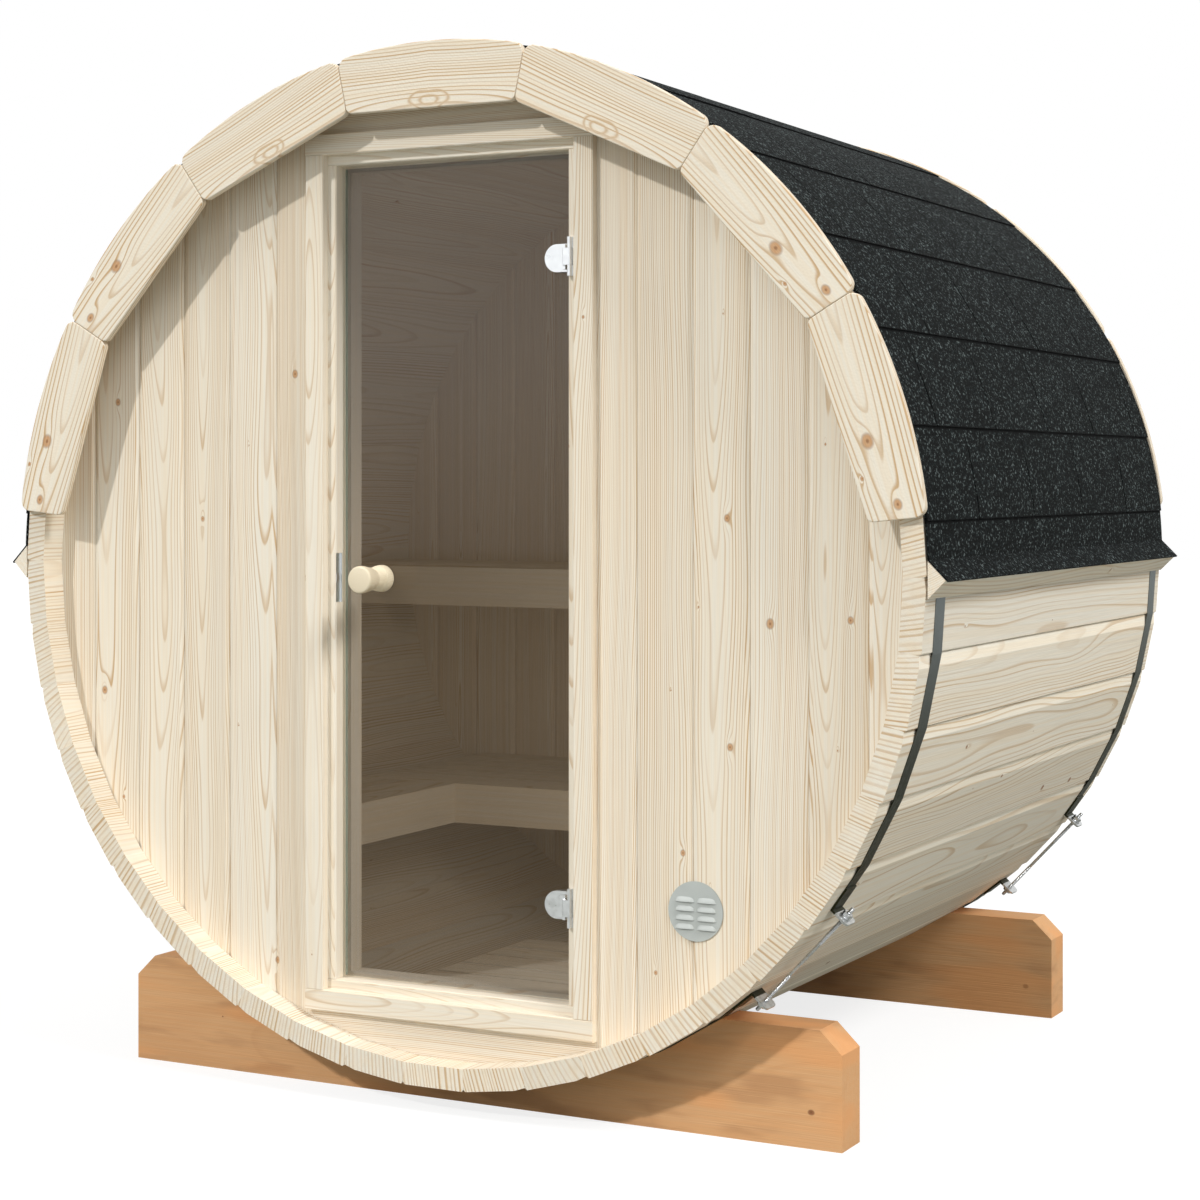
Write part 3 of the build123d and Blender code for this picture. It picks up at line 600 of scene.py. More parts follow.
def own_knots(tree, spots):
    """Core, rim and ring bulge of knots at stated places; the nearest knot counts.

    Each entry of spots is a function that gives the two coordinates and what hides the knots, and a
    list of (across, along, radius). near and far are squared distances in knot radii: far is
    stretched along the board, as the bent rings are.
    """
    near = far = None
    for where, places in spots:
        across, along, hidden = where(tree, *place_terms(tree))
        for at_across, at_along, radius in places:
            off_across, off_along = across - at_across, along - at_along
            square_across, square_along = off_across * off_across, off_along * off_along
            here = square_along._do("MULTIPLY_ADD", 0.6, square_across) * (1 / radius**2)
            there = square_along._do("MULTIPLY_ADD", 0.12, square_across) * (0.5 / radius**2)
            near = here if near is None else near.smaller(here)
            far = there if far is None else far.smaller(there)
        near, far = near + hidden, far + hidden
    if near is None:
        return None, None, None
    core, rim = knot_faces(near.root())
    return core, rim, (far * -1)._do("EXPONENT") * 0.0045


def spruce(name, place, settings, knots=0.3, rings=1.0, slant=0.014, sideways=0.17, contrast=1.0, early=None,
           late=None, knot=(196, 150, 104), rim=(124, 78, 46), roughness=0.62, tone_range=0.07, spots=(), eyes=None,
           grain=(460, 460, 9), shading=None):
    """Material for planed boards, with rings, fibres, knots and a tone of its own for each board."""
    material, tree, shader = new_material(name)
    across, depth, along, number = place(tree, *place_terms(tree))
    core, edge, bulge = own_knots(tree, spots)
    group = node(tree, "ShaderNodeGroup", {}, node_tree=bpy.data.node_groups["growth_rings"])
    values = (across, depth, along, number, settings.ring_width * rings, knots, slant, sideways, bulge or 0.0)
    for socket, value in zip(group.inputs, values):
        feed(tree, socket, value)
    late_wood, fibre, streak, patch, tone, warmth, knot_mask, rim_mask, reach = [
        Term(tree, s) for s in group.outputs]
    if core is not None:
        knot_mask, rim_mask = knot_mask.larger(core), rim_mask.larger(edge)
    if eyes:
        late_wood = late_wood.larger(closed_rings(*eyes(tree, *place_terms(tree))))
    pale = tuple(early or settings.spruce)
    dark = tuple(late or settings.late_wood)
    pink = tuple(np.array(pale) * (1.0, 0.94, 0.86))
    base = blend(tree, (streak.step(0.35, 0.7) * 0.6 + warmth * 0.4).clamp(), pale, pink)
    colour = blend(tree, (late_wood * (patch + 0.55) * contrast).clamp(), base, dark)
    shade = (tone - 0.5) * tone_range + (fibre - 0.5) * 0.13 + (patch - 0.5) * 0.07 + 1.0
    # Painted light: a given shading lightens or darkens parts of the board for light and shade, as on the staves'
    # bevels.
    if shading:
        shade = shade * shading(across, depth)
    colour = blend(tree, 1.0, colour, grey(tree, shade), "MULTIPLY")
    colour = blend(tree, (knot_mask * (0.7 + fibre * 0.4)).clamp(), colour, paint(*knot))
    colour = blend(tree, (rim_mask * 0.8).clamp(), colour, paint(*rim))
    tree.links.new(colour, shader.inputs["Base Color"])
    feed(tree, shader.inputs["Roughness"], fibre * 0.15 + roughness)
    shader.inputs["Specular IOR Level"].default_value = 0.3
    relief, _ = noise(tree, vector(tree, *[at * scale for at, scale in zip(place_terms(tree), grain)]), 1.0, 0.0)
    bump(tree, shader, relief, 0.0003)
    return material


def skid_finish(settings):
    """Impregnated wood: brown with soft darker smudges along the grain, faint rings and two small knots."""
    brown = tuple(settings.skid)
    material = spruce(
        "skid_boards", skid_boards, settings, knots=0.08, rings=2.6, slant=0.02, contrast=0.30, early=brown,
        late=tuple(np.array(brown) * (0.74, 0.60, 0.48)), knot=(120, 72, 44), rim=(96, 56, 34), roughness=0.7,
        tone_range=0.04, grain=(9, 460, 460), spots=[(skid_spots, [(0.065, 0.718, 0.0050), (0.12, -0.42, 0.0045)])])
    tree = material.node_tree
    shader = next(n for n in tree.nodes if n.type == "BSDF_PRINCIPLED")
    painted = shader.inputs["Base Color"].links[0].from_socket
    x, y, z = place_terms(tree)
    smudge, _ = noise(tree, vector(tree, x * 5.5, y * 9 + 3, z * 26), 1.0, 2.0)
    glow, _ = noise(tree, vector(tree, x * 4 + 7, y * 9, z * 15), 1.0, 1.0)
    worn = blend(tree, (smudge.step(0.50, 0.72) * 0.75).clamp(), painted,
                 tuple(np.array(brown) * (0.72, 0.66, 0.62)))
    worn = blend(tree, (glow.step(0.48, 0.7) * 0.65).clamp(), worn, tuple(np.array(brown) * (1.12, 0.92, 0.74)))
    tree.links.new(worn, shader.inputs["Base Color"])
    return material


# ---------------------------------------------------------------- other finishes


def knob_finish(settings):
    """Turned wood, smooth, with the lines of its rings across the face."""
    material, tree, shader = new_material("turned_wood")
    x, y, z = place_terms(tree)
    far = ((x + 0.30) * (x + 0.30) + (z - 1.12) * (z - 1.12)).root()
    drift, _ = noise(tree, vector(tree, x * 30, y * 8, z * 30), 1.0, 2.0)
    year = (far / 0.0028 + drift * 1.6).fraction()
    late = year.step(0.3, 0.9) * (1 - year.step(0.92, 1.0))
    fibre, _ = noise(tree, vector(tree, x * 500, y * 60, z * 500), 1.0, 2.0)
    colour = blend(tree, (late * 0.35).clamp(), paint(232, 220, 194), paint(206, 180, 140))
    colour = blend(tree, 1.0, colour, grey(tree, fibre * 0.08 + 0.95), "MULTIPLY")
    tree.links.new(colour, shader.inputs["Base Color"])
    feed(tree, shader.inputs["Roughness"], fibre * 0.1 + 0.42)
    shader.inputs["Coat Weight"].default_value = 0.12
    bump(tree, shader, fibre, 0.0001)
    return material


def granule_finish(settings):
    """Mineral granules on bitumen: clumps of light and black grains, black cut edges at each course with a painted
    shadow just below them, and painted shade in the slots between tabs.
    """
    material, tree, shader = new_material("granule_shingle")
    x, y, z = place_terms(tree)
    place = vector(tree, x, y, z)
    cells = node(tree, "ShaderNodeTexVoronoi", {"Vector": place, "Scale": 300.0})
    luck, shade, hue = parts_of(tree, cells.outputs["Color"])
    cluster, _ = noise(tree, place, 150.0, 1.0, 0.7)
    broad, _ = noise(tree, place, 9.0, 1.0)
    base = tuple(settings.granules)
    light = tuple(settings.light_granules)
    colour = blend(tree, (shade.step(0.5, 1.0) * cluster.step(0.47, 0.66)).clamp(), base, light)
    colour = blend(tree, (luck.step(0.4, 0.9) * cluster.step(0.62, 0.4)).clamp(), colour, paint(6, 7, 8))
    colour = blend(tree, (hue.step(0.9, 1.0) * 0.3).clamp(), colour, paint(58, 72, 76))
    colour = blend(tree, 1.0, colour, grey(tree, broad * 0.5 + 0.75), "MULTIPLY")
    # Painted shadow: a black band over each course's cut edge that reaches onto the course just below, where the lip's
    # shadow falls.
    angle = x.size()._do("ARCTAN2", z - AXIS)
    cut_and_painted_shade = None
    for edge in course_edges().tolist():
        here = 1 - ((angle - edge - 0.0014).size()).step(0.0024, 0.0040)
        cut_and_painted_shade = here if cut_and_painted_shade is None else cut_and_painted_shade.larger(here)
    # Painted shade: the slots between tabs, marked by the slot attribute, are painted black.
    slot = Term(tree, node(tree, "ShaderNodeAttribute", {}, attribute_name="slot").outputs["Fac"])
    colour = blend(tree, (cut_and_painted_shade.larger(slot) * 0.92).clamp(), colour, paint(5, 6, 7))
    tree.links.new(colour, shader.inputs["Base Color"])
    shader.inputs["Roughness"].default_value = 1.0
    shader.inputs["Specular IOR Level"].default_value = 0.12
    bump(tree, shader, 1 - Term(tree, cells.outputs["Distance"]), 0.0009)
    return material


def metal_finish(name, colour, roughness, streak=0.25, spangle=0.2, cloudy=0.25, metallic=1.0, tint=None):
    """Metal with cloudy zinc crystals and fine rolling marks; tint changes the colour from place to place."""
    material, tree, shader = new_material(name)
    x, y, z = place_terms(tree)
    crystals = node(tree, "ShaderNodeTexVoronoi", {"Vector": vector(tree, x, y, z), "Scale": 160.0})
    shade, _, _ = parts_of(tree, crystals.outputs["Color"])
    fine, _ = noise(tree, vector(tree, x * 60, y * 900, z * 60), 1.0, 1.0)
    cloud, _ = noise(tree, vector(tree, x, y, z), 12.0, 2.0)
    amount = (shade - 0.5) * spangle + (fine - 0.5) * streak + (cloud - 0.5) * cloudy + 1
    painted = tint(tree, x, y, z, colour) if tint else colour
    painted = blend(tree, 1.0, painted, grey(tree, amount), "MULTIPLY")
    tree.links.new(painted, shader.inputs["Base Color"])
    shader.inputs["Metallic"].default_value = metallic
    feed(tree, shader.inputs["Roughness"], (shade - 0.5) * 0.12 + (fine - 0.5) * 0.15 + roughness)
    bump(tree, shader, fine, 0.00008)
    return material


def band_zinc_and_painted_reflection(tree, x, y, z, colour):
    """Strapping steel: grey under the eave, darkening to olive brown further down as a painted reflection, with bright
    zinc at the lugs.
    """
    # Painted reflection: the steel darkens to olive brown from the eave downwards, for the darker surroundings that it
    # reflects.
    painted_dark_reflection = blend(tree, z.step(1.0, 0.62), colour, paint(54, 56, 40))
    out = x * math.sin(LUG_ANGLE) - (z - AXIS) * math.cos(LUG_ANGLE)
    along = (x * math.cos(LUG_ANGLE) + (z - AXIS) * math.sin(LUG_ANGLE)).size()
    lug = out.over(0.978) * (1 - along.step(0.150, 0.152))
    return blend(tree, lug, painted_dark_reflection, paint(206, 208, 208))


def glass_finish():
    """Bronze tinted pane: a thin veil of its own colour, clear behind it, with paler green edges; a painted reflection
    makes the veil greyer and less clear towards the top.
    """
    material, tree, shader = new_material("bronze_glass")
    x, y, z = place_terms(tree)
    edge = (x.size() - 0.2485).step(0.0, 0.0006)
    haze, _ = noise(tree, vector(tree, x, y, z), 3.0, 2.0)
    # Painted reflection: the veil is greyer and more opaque towards the top, and browner and clearer towards the
    # bottom.
    low = z.step(1.55, 0.95)
    veil_with_painted_reflection = blend(tree, low, paint(90, 84, 80), paint(78, 68, 56))
    colour = blend(tree, edge, veil_with_painted_reflection, paint(150, 172, 160))
    colour = blend(tree, 1.0, colour, grey(tree, haze * 0.2 + 0.9), "MULTIPLY")
    tree.links.new(colour, shader.inputs["Base Color"])
    feed(tree, shader.inputs["Roughness"], haze * 0.02 + 0.03)
    feed(tree, shader.inputs["Alpha"], edge * 0.4 + (haze - 0.5) * 0.03 - low * 0.08 + 0.38)
    return material


def vent_finish():
    """Light grey baked paint over sheet metal, faintly mottled."""
    material, tree, shader = new_material("vent_paint")
    place = vector(tree, *place_terms(tree))
    mottle, _ = noise(tree, place, 700.0, 2.0)
    cloud, _ = noise(tree, place, 25.0, 2.0)
    colour = blend(tree, (mottle * 0.5 + cloud * 0.5).clamp(), paint(166, 172, 170), paint(194, 199, 196))
    tree.links.new(colour, shader.inputs["Base Color"])
    feed(tree, shader.inputs["Roughness"], mottle * 0.15 + 0.42)
    bump(tree, shader, mottle, 0.00006)
    return material


# ---------------------------------------------------------------- shapes


STAVE_RUNS = (5, 5, 4, 5, 4, 5, 5, 4, 5, 4)
STAVE_THICKNESS = 0.042
CROZE_DEPTH = 0.009
WALL_BACK = -0.650
SEAT = 0.0003
VEE_HALF = 0.009
VEE_DEPTH = 0.0038
BEVEL_WIDE = 0.024
BEVEL_NARROW = 0.004
BEVEL_DEPTH = 0.0046
SHADOW_GAP = 0.0004
GAP_DEPTH = 0.009


def stave_profile(inner, before, after):
    """Cross-section of one stave in its own (across, out) plane: flat outside, a bevel of the given
    width before and after the flat, a shadow gap at each joint, mitred sides and a flat inside at the
    given distance from the axis."""
    lean = math.tan(STAVE_PITCH / 2)
    root, tongue = OUTER_FLAT - BEVEL_DEPTH, OUTER_FLAT - GAP_DEPTH
    sides = []
    for bevel in (after, before):
        sides.append(np.array([
            (OUTER_FLAT * lean - bevel, OUTER_FLAT), (root * lean - SHADOW_GAP, root),
            (tongue * lean - SHADOW_GAP, tongue), (tongue * lean - SHADOW_GAP / 8, tongue),
            (inner * lean - SHADOW_GAP / 8, inner)]))
    return np.concatenate([sides[0], (sides[1] * (-1, 1))[::-1]])


def stave_shells(first, count):
    """Neighbouring staves, each a prism along Y with a groove inside for each end wall.

    Station k of a stave is the cross-section at y_k, with the inside moved out by the groove's depth
    between the groove's two sides; the whole is turned round the barrel's axis by the stave's angle.
    """
    inside = OUTER_FLAT - STAVE_THICKNESS
    groove = (-WALL_FACE + SEAT, -WALL_BACK - SEAT)
    places = np.array([-END, -groove[0], -groove[0], -groove[1], -groove[1],
                       groove[1], groove[1], groove[0], groove[0], END])
    grooved = np.array([0, 0, 1, 1, 0, 0, 1, 1, 0, 0], bool)
    shells = []
    for number in range(first, first + count):
        angle = (number - 2) * STAVE_PITCH
        cos, sin = math.cos(angle), math.sin(angle)
        bevels = (BEVEL_WIDE if sin < -0.01 else BEVEL_NARROW, BEVEL_WIDE if sin > 0.01 else BEVEL_NARROW)
        plain, cut_and_painted_shade = stave_profile(inside, *bevels), stave_profile(inside + CROZE_DEPTH, *bevels)
        section = np.where(grooved[:, None, None], cut_and_painted_shade[None], plain[None])
        across, out = section[..., 0], section[..., 1]
        rings = np.stack([across * cos + out * sin, np.broadcast_to(places[:, None], across.shape),
                          AXIS + across * sin - out * cos], -1)
        shells.append(tube(rings))
    return shells


def wall_reach(x):
    """Half height of the round wall at x: the lowest of the stave sides' lines in the groove."""
    flat = OUTER_FLAT - STAVE_THICKNESS + CROZE_DEPTH - SEAT
    turns = np.arange(-11, 12) * STAVE_PITCH
    lines = (flat - np.asarray(x)[..., None] * np.sin(turns)) / np.cos(turns)
    return np.maximum(lines.min(-1), 0.001)


def wall_board(left, right, end, left_joint=True, right_joint=True):
    """One upright board with a V and a shadow gap at each joint, cut to the wall's round outline.

    The cross-section, seen from above, runs along the outer face and back along the inner face; each
    of its points rises from axis - reach(x) to axis + reach(x).
    """
    left_vee, right_vee = VEE_HALF * left_joint, VEE_HALF * right_joint
    left_gap, right_gap = SHADOW_GAP * left_joint, SHADOW_GAP * right_joint
    face = np.linspace(left + left_vee, right - right_vee, 9)
    outer, inner = -WALL_FACE, -WALL_BACK
    before = [(left + left_gap / 8, inner + VEE_DEPTH * left_joint), (left + left_gap / 8, outer - GAP_DEPTH),
              (left + left_gap, outer - GAP_DEPTH), (left + left_gap, outer - VEE_DEPTH * left_joint)]
    after = [(right - right_gap, outer - VEE_DEPTH * right_joint), (right - right_gap, outer - GAP_DEPTH),
             (right - right_gap / 8, outer - GAP_DEPTH), (right - right_gap / 8, inner + VEE_DEPTH * right_joint)]
    front = np.stack([face, np.full(9, outer)], -1)
    back = np.stack([face[::-1], np.full(9, inner)], -1)
    plan = np.concatenate([before, front, after, back])
    reach = wall_reach(plan[:, 0])
    rings = np.stack([
        np.stack([plan[:, 0], end * plan[:, 1], AXIS + way * reach], -1) for way in (-1, 1)])
    return tube(rings)


def wall_boards(start, stop, end):
    """Boards between two places across the barrel; a board edge on a joint gets its V."""
    joints = FIRST_JOINT + BOARD_WIDTH * np.arange(8)
    joints = np.concatenate([-joints[::-1], joints])
    inner = joints[(joints > start + 0.001) & (joints < stop - 0.001)]
    edges = np.concatenate([[start], inner, [stop]])
    on_joint = np.abs(edges[:, None] - joints[None]).min(-1) < 0.0002
    return [wall_board(edges[k], edges[k + 1], end, bool(on_joint[k]), bool(on_joint[k + 1]))
            for k in range(len(edges) - 1)]


def trim_outline(settings):
    """Outline of one trim board in its own (across, out) plane, with its inward normals.

    Going round: an arc about the barrel's axis, a corner circle that touches the arc and the mitre
    line, a corner circle that touches the mitre line and the straight inner edge, and the same back.
    """
    half, gap = settings.board_angle / 2, 0.0004
    outer_corner, inner_corner = 0.020, 0.014
    edge_normal = np.array((math.cos(half), -math.sin(half)))
    reach = settings.outer_radius - outer_corner
    lean = half - math.asin((outer_corner + gap) / reach)
    outer_middle = reach * np.array((math.sin(lean), math.cos(lean)))
    inner_v = settings.inner_distance + inner_corner
    inner_middle = np.array(((inner_v * math.sin(half) - inner_corner - gap) / math.cos(half), inner_v))
    arc = np.linspace(0, lean, 12, endpoint=False)
    parts = [np.stack([np.sin(arc), np.cos(arc)], -1)]
    places = [parts[0] * settings.outer_radius]
    turn = np.linspace(math.pi / 2 - lean, -half, 9)
    for middle, radius, angles in (
        (outer_middle, outer_corner, turn),
        (inner_middle, inner_corner, np.linspace(-half, -math.pi / 2, 9)),
    ):
        way = np.stack([np.cos(angles), np.sin(angles)], -1)
        parts.append(way)
        places.append(middle + radius * way)
    right, normals = np.concatenate(places), np.concatenate(parts)
    mirror = np.array((-1, 1))
    outline = np.concatenate([right, (right[1:] * mirror)[::-1]])
    return outline, -np.concatenate([normals, (normals[1:] * mirror)[::-1]])


def trim_arch(settings, end):
    """The boards of one arch, each turned round the barrel's axis by its own angle."""
    outline, inward = trim_outline(settings)
    back, front = end * (END + 0.0003), end * (END + 0.0153)
    shells = []
    for number in range(settings.boards):
        angle = (number - (settings.boards - 1) / 2) * settings.board_angle
        cos, sin = math.cos(angle), math.sin(angle)

        def turn(across, out, depth):
            return np.stack([across * cos + out * sin, depth, AXIS + out * cos - across * sin], -1)

        shells.append(eased_board(outline, inward, back, front, settings.easing, turn))
    return shells


def course_edges():
    """Angles from the top of the courses' lower edges, from the eave to the ridge."""
    lengths = 0.165 + 0.014 * np.arange(6)
    return np.radians(84.4) - np.concatenate([[0], np.cumsum(lengths / RADIUS)])


def shingle_side(settings, side, seed):
    """One side of the roof as a single closed sheet.

    Stations run from the ridge round the barrel and down the eave's slope, columns along the
    barrel. The outer surface stands off the sheet by the lift times the share of the course that
    is passed, less the slots between tabs, which shift by half a tab from course to course; each
    tab's lift differs a little.
    """
    random = np.random.default_rng(seed)
    edges = course_edges()
    slot, tab = settings.slot, settings.tab
    starts = np.array([0.0 if k % 2 else 0.5 for k in range(8)]) + random.uniform(-0.05, 0.05, 8)
    columns = [np.linspace(-END, END, 25)]
    for k in range(8):
        middles = (np.arange(-4, 5) + starts[k]) * tab
        for offset in (-0.5, -0.46, 0.46, 0.5):
            columns.append(middles + offset * slot)
    y = np.unique(np.round(np.clip(np.concatenate(columns), -END, END), 6))

    # Stations: ridge, courses with a step at each lower edge, then the slope to the tip
    uppers = np.append(edges[1:], 0.0001)
    angle, share, course = [], [], []
    for k in range(len(edges) - 1, -1, -1):
        steps = np.linspace(uppers[k] + 1e-5, edges[k], 9)
        angle += steps.tolist()
        share += np.linspace(0, 1, 9).tolist()
        course += [k] * 9
    outer = BATTEN_BACK + settings.sheet
    slope_inner = BATTEN_BACK + 0.028 + 0.0003 * math.sqrt(2)
    slope_outer = slope_inner + settings.sheet * math.sqrt(2)

    def bend(radius, total):
        return math.pi / 4 + math.acos(total / math.sqrt(2) / radius)

    last = np.linspace(edges[0] + 1e-5, bend(outer, slope_outer), 4)
    angle, share, course = np.array(angle), np.array(share), np.array(course)
    tip = BATTEN_BACK + 0.032 + 0.003
    tip_outer = tip + settings.sheet * math.sqrt(0.5)
    top = np.stack([np.sin(angle), np.cos(angle)], -1)
    low = np.stack([np.sin(last), np.cos(last)], -1)
    bend_inner = bend(BATTEN_BACK, slope_inner)
    inner_angle = np.minimum(np.concatenate([angle, last]), bend_inner)
    inner = BATTEN_BACK * np.stack([np.sin(inner_angle), np.cos(inner_angle)], -1)
    slope = np.linspace(0, 1, 5)[1:, None]
    bend_point = outer * low[-1]
    end_point = np.array((tip_outer, slope_outer - tip_outer))
    outer_path = np.concatenate([outer * top, outer * low, bend_point + (end_point - bend_point) * slope])
    inner_end = np.array((tip, slope_inner - tip))
    inner_path = np.concatenate([inner, inner[-1] + (inner_end - inner[-1]) * slope])
    normal = np.concatenate([top, low, np.repeat(np.array([[math.sqrt(0.5)] * 2]), 4, 0)])

    # Height of each outer point over the plain sheet
    tab_place = (y[None] / tab - starts[course][:, None])
    tab_number = np.floor(tab_place).astype(int)
    nearest = np.abs(tab_place - np.round(tab_place)) * tab
    variety = 0.75 + 0.25 * random.random((8, 16))[course[:, None], tab_number % 16]
    cut_and_painted_shade = nearest < 0.48 * slot
    rise = settings.lift * share[:, None] * variety * ~cut_and_painted_shade
    height = np.zeros((len(outer_path), len(y)))
    height[: len(angle)] = rise
    height[len(angle):] = 0
    outer_points = outer_path[:, None] + height[..., None] * normal[:, None]
    loop = np.concatenate([outer_points, np.broadcast_to(inner_path[::-1, None], outer_points.shape)])
    rings = np.empty((len(y), len(loop), 3))
    rings[..., 0] = side * loop[..., 0].T
    rings[..., 1] = y[:, None]
    rings[..., 2] = AXIS + loop[..., 1].T
    stations = len(outer_path)
    faces = grid_faces(len(y), len(loop), ring=True).tolist()
    for start in (0, (len(y) - 1) * len(loop)):
        s = np.arange(stations - 1)
        other = len(loop) - 1 - s
        cap = np.stack([s, s + 1, other - 1, other], -1) + start
        faces += cap.tolist()
    # Points in the slots between tabs, which the granule finish paints black as painted shade.
    slot_painted_shade = np.zeros((len(y), len(loop)))
    slot_painted_shade[:, : len(angle)] = (cut_and_painted_shade & (share[:, None] > 0)).T
    return rings.reshape(-1, 3), faces, slot_painted_shade.ravel()


def knob_shells():
    """Turned knob on the glass: foot, waist with fine rings, flare and a faintly domed face."""
    reach, radius, waist = 0.086, 0.026, 0.0202
    rim = np.linspace(0, math.pi / 2, 7)
    place = np.linspace(0.008, reach - 0.008, 90)
    middle = 0.034
    near = np.abs(place - middle) / np.where(place < middle, middle - 0.008, reach - 0.008 - middle)
    body = waist + (radius - waist) * np.sin(np.minimum(near, 1) * math.pi / 2) ** 2.2
    beads = 0.0013 * np.cos((place - 0.020) / 0.0055 * 2 * math.pi)
    body = body + beads * ((place > 0.0186) & (place < 0.0434))
    foot = np.stack([0.004 * (1 - np.cos(rim)), radius - 0.004 + 0.004 * np.sin(rim)], -1)
    face = np.stack([reach - 0.004 + 0.004 * np.sin(rim), radius - 0.004 + 0.004 * np.cos(rim)], -1)
    dome = np.array([(reach + 0.0006, radius - 0.008), (reach + 0.0012, 0.010), (reach + 0.0013, 0.001)])
    start = np.array([(0.0, 0.001)])
    profile = np.concatenate([start, foot, np.stack([place, body], -1), face, dome])
    spot = (-0.1622, -0.6683, 0.998)
    button = np.array([(0.0, 0.001), (0.0, 0.012), (0.004, 0.0135), (0.007, 0.012), (0.009, 0.008), (0.0095, 0.001)])
    return [turned(profile, spot, (0, -1, 0), (1, 0, 0), 64),
            turned(button, (spot[0], -0.6597, spot[2]), (0, 1, 0), (1, 0, 0), 40)]


VENT_MIDDLE = (0.517, 0.0)


def vent_height():
    """The vent's height: on a line in from the staves that the front view gives."""
    return AXIS - math.sqrt((OUTER_FLAT - 0.042 - 0.132) ** 2 - VENT_MIDDLE[0] ** 2)


def vent_shells():
    """Pressed vent: a disc with a rolled edge and eight hoods.

    Hood: at (s, t), s across from -1 to 1 and t up from the lip, x = s * width / 2, the height is
    t * height * root(1 - s^4) and the reach is (1 - t^1.3) * reach * root(1 - s^4), closed to the disc behind.
    """
    middle = np.array((VENT_MIDDLE[0], 0, vent_height()))
    back, front = WALL_FACE - 0.0003, WALL_FACE - 0.0023
    radius = 0.054
    turn = np.linspace(0, math.pi / 2, 5)
    edge = np.stack([0.002 - 0.0015 * (1 - np.sin(turn))[::-1] * 0 - 0.0015 * (1 - np.cos(turn)),
                     radius - 0.0015 * (1 - np.sin(turn[::-1]))], -1)
    profile = np.concatenate([[(0.0, 0.001), (0.0, radius - 0.0008), (0.0005, radius)], edge[::-1], [(0.002, 0.001)]])
    shells = [turned(profile, (middle[0], back, middle[2]), (0, -1, 0), (1, 0, 0), 72)]
    width, height, reach, thick = 0.038, 0.0095, 0.0036, 0.0008
    s = np.linspace(-1, 1, 21)
    t = np.linspace(0, 1, 7)
    crown = np.sqrt(np.maximum(1 - s**4, 0))[None]

    def skin(shrink, offset):
        out = (1 - t[:, None] ** 1.3) * (reach - offset) * crown + 0.0002
        up = t[:, None] * (height - offset) * crown
        across = np.broadcast_to(s * (width / 2 - shrink), out.shape)
        return across, out, up

    outer_skin, inner_skin = skin(0, 0), skin(thick, thick)
    for column in (-1, 1):
        for row in range(4):
            x0 = middle[0] + column * 0.0215
            z0 = middle[2] + (row - 1.5) * 0.0162 - 0.008
            points = []
            for across, out, up in (outer_skin, inner_skin):
                points.append(np.stack([x0 + across, front - out + 0.0004, z0 + up], -1))
            rows, cols = points[0].shape[:2]
            count = rows * cols
            faces = grid_faces(rows, cols)
            inner_faces = faces[:, ::-1] + count
            rim = np.arange(cols - 1)
            lip = np.stack([rim, rim + 1, rim + 1 + count, rim + count], -1)
            crest = lip + (rows - 1) * cols
            side_rows = np.arange(rows - 1) * cols
            left = np.stack([side_rows, side_rows + cols, side_rows + cols + count, side_rows + count], -1)
            right = left + cols - 1
            shells.append((np.concatenate(points).reshape(-1, 3),
                           np.concatenate([faces, inner_faces, lip, crest[:, ::-1], left[:, ::-1], right]).tolist()))
    return shells


LUG_ANGLE = math.radians(46.7)
SCREW_OUT = 0.991


def screw_frame(place):
    """Middle and direction of the band's screw."""
    out = np.array((math.sin(LUG_ANGLE), 0, -math.cos(LUG_ANGLE)))
    along = np.array((math.cos(LUG_ANGLE), 0, math.sin(LUG_ANGLE)))
    return np.array((0, place, AXIS)) + SCREW_OUT * out, along


def threaded(middle, direction, start, stop, radius, pitch, depth):
    """Threaded rod: at (t, u) the radius is the stud's less the depth times a rounded saw of
    t over the pitch less u over a full turn, fading at both ends."""
    corners, rows = 14, int((stop - start) / pitch * 5)
    t = np.linspace(start, stop, rows)
    u = np.linspace(0, 2 * math.pi, corners, endpoint=False)
    phase = (t[:, None] / pitch - u[None] / (2 * math.pi)) % 1
    groove = np.abs(phase * 2 - 1)
    fade = np.clip(np.minimum(t - start, stop - t) / (1.5 * pitch), 0, 1)[:, None]
    around = radius - depth * (1 - groove) * fade - 0.0009 * (1 - fade)
    side = np.array((0.0, 1.0, 0.0))
    other = np.cross(direction, side)
    ring = np.cos(u)[None, :, None] * side + np.sin(u)[None, :, None] * other
    return tube(middle + t[:, None, None] * direction + around[..., None] * ring)


def nut(middle, direction, start, stop, across):
    """Hexagon nut: the radius is the smaller of the hexagon's and a cone's that breaks its corners."""
    u = np.linspace(0, 2 * math.pi, 48, endpoint=False)
    t = np.linspace(start, stop, 9)
    hexagon = across / 2 / np.cos((u + math.pi / 6) % (math.pi / 3) - math.pi / 6)
    end = np.minimum(t - start, stop - t)
    cone = across / 2 * 1.0 + end * 2.2
    around = np.minimum(hexagon[None], cone[:, None])
    side = np.array((0.0, 1.0, 0.0))
    ring = np.cos(u)[None, :, None] * side + np.sin(u)[None, :, None] * np.cross(direction, side)
    return tube(middle + t[:, None, None] * direction + around[..., None] * ring)


